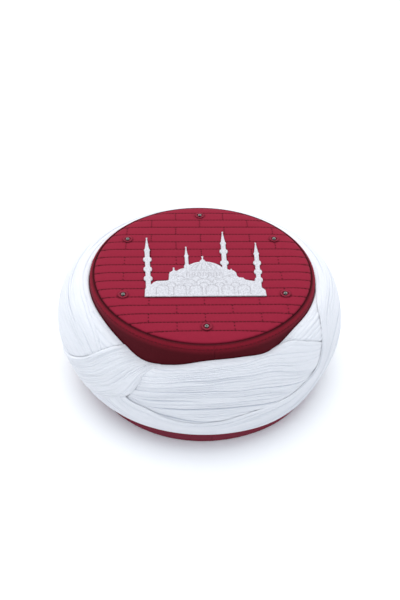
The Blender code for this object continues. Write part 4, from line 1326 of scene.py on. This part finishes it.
def dome_outline():
    """The main dome, an arc of a circle, with the finial on its top."""
    middle, apex = DOME_MIDDLE * FIGURE_WIDTH, DOME_APEX * FIGURE_HEIGHT
    ends = [math.asin((place - DOME_MIDDLE) * FIGURE_WIDTH / DOME_RADIUS)
            for place in (DOME_LEFT, DOME_RIGHT)]
    arc = [(middle + DOME_RADIUS * math.sin(t), apex - DOME_RADIUS * (1.0 - math.cos(t)))
           for t in np.linspace(*ends, 29)]
    centre, half = FINIAL_PLACE * FIGURE_WIDTH, FINIAL_WIDTH / 2
    left, right = ([(centre + way * out * half, apex + up * half) for out, up in FINIAL_SIDE]
                   for way in (-1, 1))
    return ([point for point in arc if point[0] < centre - half] + left
            + [(centre, FINIAL_TIP * FIGURE_HEIGHT)] + right[::-1]
            + [point for point in arc if point[0] > centre + half])


def on_figure(run):
    """A run of places across and heights, in metres."""
    return [(place * FIGURE_WIDTH, height * FIGURE_HEIGHT) for place, height in run]


def skyline():
    """The figure's closed outline in its own plane, in metres."""
    towers = [tower_outline(*tower) for tower in TOWERS]
    return (on_figure(LEFT_BASE) + towers[0] + on_figure(LEFT_ROOFS) + towers[1] + dome_outline()
            + towers[2] + on_figure(RIGHT_ROOFS) + towers[3] + on_figure(RIGHT_BASE))


outline = np.array(skyline())
print("skyline outline:", len(outline), "points")

# %% Skyline relief
ARCHES = (  # places, and the foot, width, spring and top of each row of arches, in mm
    ((-30.6, -17.9, -6.1, 5.7, 17.3, 29.1), 1.6, 9.0, 9.0, 12.5),
    ((-12.0, -0.2, 11.5), 15.0, 10.6, 15.6, 19.6),
    ((-24.0, -12.0, -0.2, 11.5, 23.2), 12.0, 6.4, 12.6, 15.2),
    ((-17.5, -5.8, 5.6, 17.2), 20.5, 6.0, 20.8, 23.0),
    (np.arange(7) * 4.1 - 11.6, 23.2, 2.0, 26.4, 27.6),
)
DOME_CENTRE, DOME_RIBS = 0.7, (-0.8, -0.5, -0.18, 0.18, 0.5, 0.8)
RIB_SIDE = ((12.6, 31.4), (10.0, 35.6), (5.2, 38.6))  # mm out for a share of 1, and mm up
DOME_FOOT = ((-9.6, 30.2), (14.0, 30.2))
SILLS, SILL_HEIGHT, SILL_HALF = (-0.254, 0.24), 24.0, 2.5  # shares of the width, and mm


def arch(centre, foot, width, spring, top):
    """An arched line in millimetres: two posts and a half-oval between them."""
    turns = np.radians(np.linspace(180, 0, 15))
    curve = [(centre + width / 2 * math.cos(t), spring + (top - spring) * math.sin(t))
             for t in turns]
    return [(centre - width / 2, foot)] + curve + [(centre + width / 2, foot)]


arch_lines = [arch(centre, *shape) for centres, *shape in ARCHES for centre in centres]
arch_lines += [[(DOME_CENTRE + out * share, up) for out, up in RIB_SIDE] for share in DOME_RIBS]
arch_lines += [[(share * FIGURE_WIDTH / MM + out, SILL_HEIGHT) for out in (-SILL_HALF, SILL_HALF)]
               for share in SILLS] + [DOME_FOOT]


def legs(line, closed):
    """The straight parts of a line of points, each from one point to the next."""
    line = np.asarray(line)
    return zip(line, np.roll(line, -1, axis=0)) if closed else zip(line[:-1], line[1:])


def distance_to(points, line, closed=False):
    """Distance from each point to a line of points."""
    best = np.full(len(points), 1.0)
    for a, b in legs(line, closed):
        run = b - a
        t = np.clip(((points - a) @ run) / max(run @ run, 1e-12), 0.0, 1.0)
        best = np.minimum(best, np.hypot(*(points - a - t[:, None] * run).T))
    return best


def inside(points, line):
    """Whether each point lies inside a closed line."""
    hit = np.full(len(points), False)
    x, y = points.T
    for (ax, ay), (bx, by) in legs(line, True):
        if ay != by:
            hit ^= ((ay > y) != (by > y)) & (x < (bx - ax) * (y - ay) / (by - ay) + ax)
    return hit


def walk(line, step):
    """Points along a closed line at about even steps."""
    points = []
    for a, b in legs(line, True):
        count = max(int(round(np.hypot(*(b - a)) / step)), 1)
        points += [tuple(a + (b - a) * k / count) for k in range(count)]
    return np.array(points)


FIGURE_GRID, BORDER = 0.0005, 0.0012
rim = walk(outline, FIGURE_GRID)
grid_x, grid_y = np.meshgrid(np.arange(-0.046, 0.046, FIGURE_GRID),
                             np.arange(0.0, 0.082, FIGURE_GRID * 0.87))
grid_x = grid_x + (np.arange(grid_x.shape[0]) % 2)[:, None] * FIGURE_GRID / 2
candidates = np.column_stack([grid_x.ravel(), grid_y.ravel()])
candidates = candidates[inside(candidates, outline)]
candidates = candidates[distance_to(candidates, outline, True) > FIGURE_GRID * 0.6]
loop = [(i, (i + 1) % len(rim)) for i in range(len(rim))]
cut = geometry.delaunay_2d_cdt([Vector(p) for p in np.vstack([rim, candidates])], loop, [], 1,
                               1e-8)
flat = np.array([tuple(v) for v in cut[0]])
triangles = [list(map(int, f)) for f in cut[2]]
print("skyline mesh:", len(flat), "points,", len(triangles), "triangles")

# %% Skyline piece
FIGURE_BOTTOM = CROWN_TOP + 0.5 * GAP
FIGURE_RISE, ARCH_DEPTH, RIM_RISE = 0.0006, 0.00027, 0.0001
BORDER_FADE, SIDE_ROUND, GROOVE_REACH, ROUGHNESS = 0.0006, 0.0005, 0.00032, 0.00003
random = np.random.default_rng(51)
to_edge = distance_to(flat, outline, True)
within = ease((to_edge - BORDER) / BORDER_FADE)
raised = FIGURE_RISE * (0.3 + 0.7 * np.sqrt(np.clip(to_edge / SIDE_ROUND, 0.0, 1.0)))
groove = np.zeros(len(flat))
for line in arch_lines:
    away = distance_to(flat, np.array(line) * MM)
    groove = np.maximum(groove, np.exp(-(away / GROOVE_REACH) ** 2))
groove *= within
raised -= ARCH_DEPTH * groove
raised += random.normal(0.0, ROUGHNESS, len(flat)) * within
rise = np.where(to_edge < 1e-7, RIM_RISE, raised)
figure_points = np.vstack([np.column_stack([flat[:, 0], flat[:, 1] + FIGURE_BASE,
                                            FIGURE_BOTTOM + lift])
                           for lift in (rise, np.zeros(len(flat)))])
size = len(flat)
figure_faces = triangles + [[i + size for i in face[::-1]] for face in triangles]
figure_faces += [[b, a, a + size, b + size] for a, b in open_edges(triangles)]
figure = new_piece("skyline_embroidery", figure_points, figure_faces, white_thread)
# The groove mark is partly needle holes and partly painted shade in the arch valleys.
for label, values in (("border", 1.0 - within), ("groove", groove)):
    mark(figure, label, np.concatenate([values, values]))
keep(figure, "white_thread", "embroidered_figure")

# %% [markdown]
# ## Eyelets
# Each vent eyelet is a pressed metal ring with a rounded flange round a small bore, set in a ring
# of satin stitches. One rounded profile is turned for all six.

# %% Eyelets
BORE, BARREL, FLANGE, FLANGE_THICKNESS = 0.0005, 0.0009, 0.0014, 0.0004
EYELET_TURNS = np.arange(32) * math.tau / 32
under_flange = CROWN_TOP + GAP
flange_top = under_flange + FLANGE_THICKNESS
eyelet_profile = [(BORE, PANEL_BOTTOM), (BORE, flange_top - 0.0005),
                  (BORE + 0.00012, flange_top - 0.0002), (BORE + 0.0004, flange_top),
                  (BORE + 0.0008, flange_top - 0.00004),
                  (FLANGE - 0.0003, flange_top - 0.00018), (FLANGE - 0.00008, flange_top - 0.0003),
                  (FLANGE, under_flange + 0.0001), (FLANGE - 0.0001, under_flange),
                  (BARREL, under_flange), (BARREL, PANEL_BOTTOM)]
for number, centre in enumerate(eyelet_places, 1):
    ring = turned_piece("eyelet_ring_%d" % number, eyelet_profile, EYELET_TURNS, eyelet_metal,
                        centre)
    keep(ring, "eyelet_metal", "eyelet_%d" % number)

# %% [markdown]
# ## Stitches
# Stitches repeat along seams, so one Geometry Nodes tree makes them all: it walks along a seam at
# an even pitch and puts a small rounded stitch at each step, turned along the seam or across it.
# The same tree makes the long stitches of the strips and the satin stitches of rings and border.

# %% Stitch tree


def stitch_tree():
    """A tree that puts stitches along the edges of a mesh."""
    tree = bpy.data.node_groups.new("stitches along a seam", "GeometryNodeTree")
    tree.is_modifier = True
    kinds = {"Seam": "Geometry", "Pitch": "Float", "Length": "Float", "Width": "Float",
             "Height": "Float", "Turn": "Float", "Unevenness": "Float", "Seed": "Int",
             "Finish": "Material"}
    for label, kind in kinds.items():
        tree.interface.new_socket(label, in_out="INPUT", socket_type="NodeSocket" + kind)
    tree.interface.new_socket("Stitches", in_out="OUTPUT", socket_type="NodeSocketGeometry")
    given = put_node(tree, "NodeGroupInput").outputs
    seam = put_node(tree, "GeometryNodeMeshToCurve", {0: given["Seam"]})
    steps = put_node(tree, "GeometryNodeResampleCurve",
                     {"Curve": seam.outputs[0], "Length": given["Pitch"]}, mode="LENGTH")
    bead = put_node(tree, "GeometryNodeMeshUVSphere", {"Segments": 6, "Rings": 4, "Radius": 0.5})
    size = put_node(tree, "ShaderNodeCombineXYZ", {"X": given["Length"], "Y": given["Width"],
                                                   "Z": given["Height"]})
    direction = put_node(tree, "GeometryNodeInputTangent")
    align = put_node(tree, "FunctionNodeAlignRotationToVector", {"Vector": direction.outputs[0]},
                     axis="X")
    least = math_node(tree, "MULTIPLY", given["Unevenness"], -1.0)
    wobble = put_node(tree, "FunctionNodeRandomValue",
                      {2: least, 3: given["Unevenness"], "Seed": given["Seed"]}, data_type="FLOAT")
    angle = math_node(tree, "ADD", given["Turn"], wobble.outputs[1])
    spin = put_node(tree, "ShaderNodeCombineXYZ", {"Z": angle})
    turned = put_node(tree, "FunctionNodeRotateRotation",
                      {0: align.outputs[0], 1: spin.outputs[0]}, rotation_space="LOCAL")
    placed = put_node(tree, "GeometryNodeInstanceOnPoints", {
        "Points": steps.outputs[0], "Instance": bead.outputs["Mesh"],
        "Rotation": turned.outputs[0], "Scale": size.outputs[0]})
    real = put_node(tree, "GeometryNodeRealizeInstances", {0: placed.outputs[0]})
    smooth = put_node(tree, "GeometryNodeSetShadeSmooth", {0: real.outputs[0]})
    paint = put_node(tree, "GeometryNodeSetMaterial", {"Geometry": smooth.outputs[0],
                                                       "Material": given["Finish"]})
    put_node(tree, "NodeGroupOutput", {0: paint.outputs[0]})
    return tree


STITCHES = stitch_tree()


def stitched_piece(name, seams, material, slot, closed=False, **values):
    """Stitches along open or closed runs of points, as one plain mesh."""
    mesh = bpy.data.meshes.new(name)
    points, edges = [], []
    for run in seams:
        start = len(points)
        points += [tuple(map(float, p)) for p in run]
        edges += [(start + k, start + k + 1) for k in range(len(run) - 1)]
        if closed:
            edges.append((len(points) - 1, start))
    mesh.from_pydata(points, edges, [])
    seam = place_object(name, mesh)
    modifier = seam.modifiers.new("Stitches", "NODES")
    modifier.node_group = STITCHES
    values = dict({"Turn": 0.0, "Unevenness": 0.08}, **values, Finish=material)
    for socket in STITCHES.interface.items_tree:
        if socket.in_out == "INPUT" and socket.name in values:
            modifier[socket.identifier] = values[socket.name]
    evaluated = seam.evaluated_get(bpy.context.evaluated_depsgraph_get())
    made = bpy.data.meshes.new_from_object(evaluated)
    seam.modifiers.clear()
    seam.data = made
    print(name, len(made.polygons), "faces")
    keep(seam, slot)


# %% [markdown]
# The strips' stitches follow their lines over the rolled edge, and the cross seams are short rows
# of small ones. The topstitching goes round the shoulder. The eyelets' rings and the figure's
# border are satin stitches, which lie side by side across their lines.

# %% Seams on the crown
RING_RADIUS = 0.0031  # of the satin stitches round an eyelet
LINE_LIFT, SEAM_LIFT, BORDER_INSET, BORDER_SINK = 0.00012, 0.0001, 0.0005, 0.0001
LINE_MARGIN, CROSS_MARGIN = 0.0006, 0.0012  # where lines and cross seams end


def on_crown(x, y, lift):
    """Points on the pad's stitched lines, raised a little."""
    x, y = np.broadcast_arrays(x, y)
    return np.column_stack([x, y, crown_height(x, y, 1.0) + lift])


line_seams = []
for line in strip_lines:
    reach = math.sqrt(PANEL_RADIUS ** 2 - line ** 2) - LINE_MARGIN
    line_seams.append(on_crown(np.linspace(-reach, reach, 80), line, LINE_LIFT))
joint_seams = [on_crown(x, np.linspace(high - CROSS_MARGIN, low + CROSS_MARGIN, 9), SEAM_LIFT)
               for strip, (high, low) in enumerate(zip(strip_edges, strip_edges[1:]))
               if 0 < strip < len(strip_edges) - 2 for x in joints_of(strip)]
stitched_piece("strip_stitches", line_seams, maroon_thread, "crown_cloth", Pitch=0.0026,
               Length=0.0022, Width=0.0006, Height=0.0005, Seed=3)
stitched_piece("joint_stitches", joint_seams, maroon_thread, "crown_cloth", Pitch=0.0025,
               Length=0.0009, Width=0.0009, Height=0.0005, Seed=4)

ring_seams = [[(cx + RING_RADIUS * math.cos(t), cy + RING_RADIUS * math.sin(t), CROWN_TOP + SEAM_LIFT)
               for t in np.arange(0, math.tau, math.tau / 40)] for cx, cy in eyelet_places]
stitched_piece("eyelet_stitches", ring_seams, ring_thread, "crown_cloth", True, Pitch=0.00046,
               Length=0.0017, Width=0.00052, Height=0.00045, Turn=math.pi / 2, Unevenness=0.1,
               Seed=5)
over_seam = cover_radius(TOPSTITCH_HEIGHT) + SEAM_LIFT
top_run = [(over_seam * math.sin(t), -over_seam * math.cos(t), TOPSTITCH_HEIGHT)
           for t in np.arange(0, math.tau, math.tau / 240)]
stitched_piece("shoulder_stitches", [top_run], maroon_thread, "wall_cloth", True, Pitch=0.003,
               Length=0.0022, Width=0.00045, Height=0.00045, Seed=6)
border_run = walk(outline, 0.0004)
ahead = np.roll(border_run, -1, axis=0) - np.roll(border_run, 1, axis=0)
ahead /= np.maximum(np.hypot(*ahead.T), 1e-9)[:, None]
border_run = border_run + BORDER_INSET * np.column_stack([ahead[:, 1], -ahead[:, 0]])
border_height = FIGURE_BOTTOM + FIGURE_RISE - BORDER_SINK
border_run = [(x, y + FIGURE_BASE, border_height) for x, y in border_run]
stitched_piece("skyline_border", [border_run], border_thread, "white_thread", True,
               Pitch=0.00038, Length=0.0011, Width=0.00036, Height=0.0004, Turn=math.pi / 2,
               Unevenness=0.25, Seed=7)
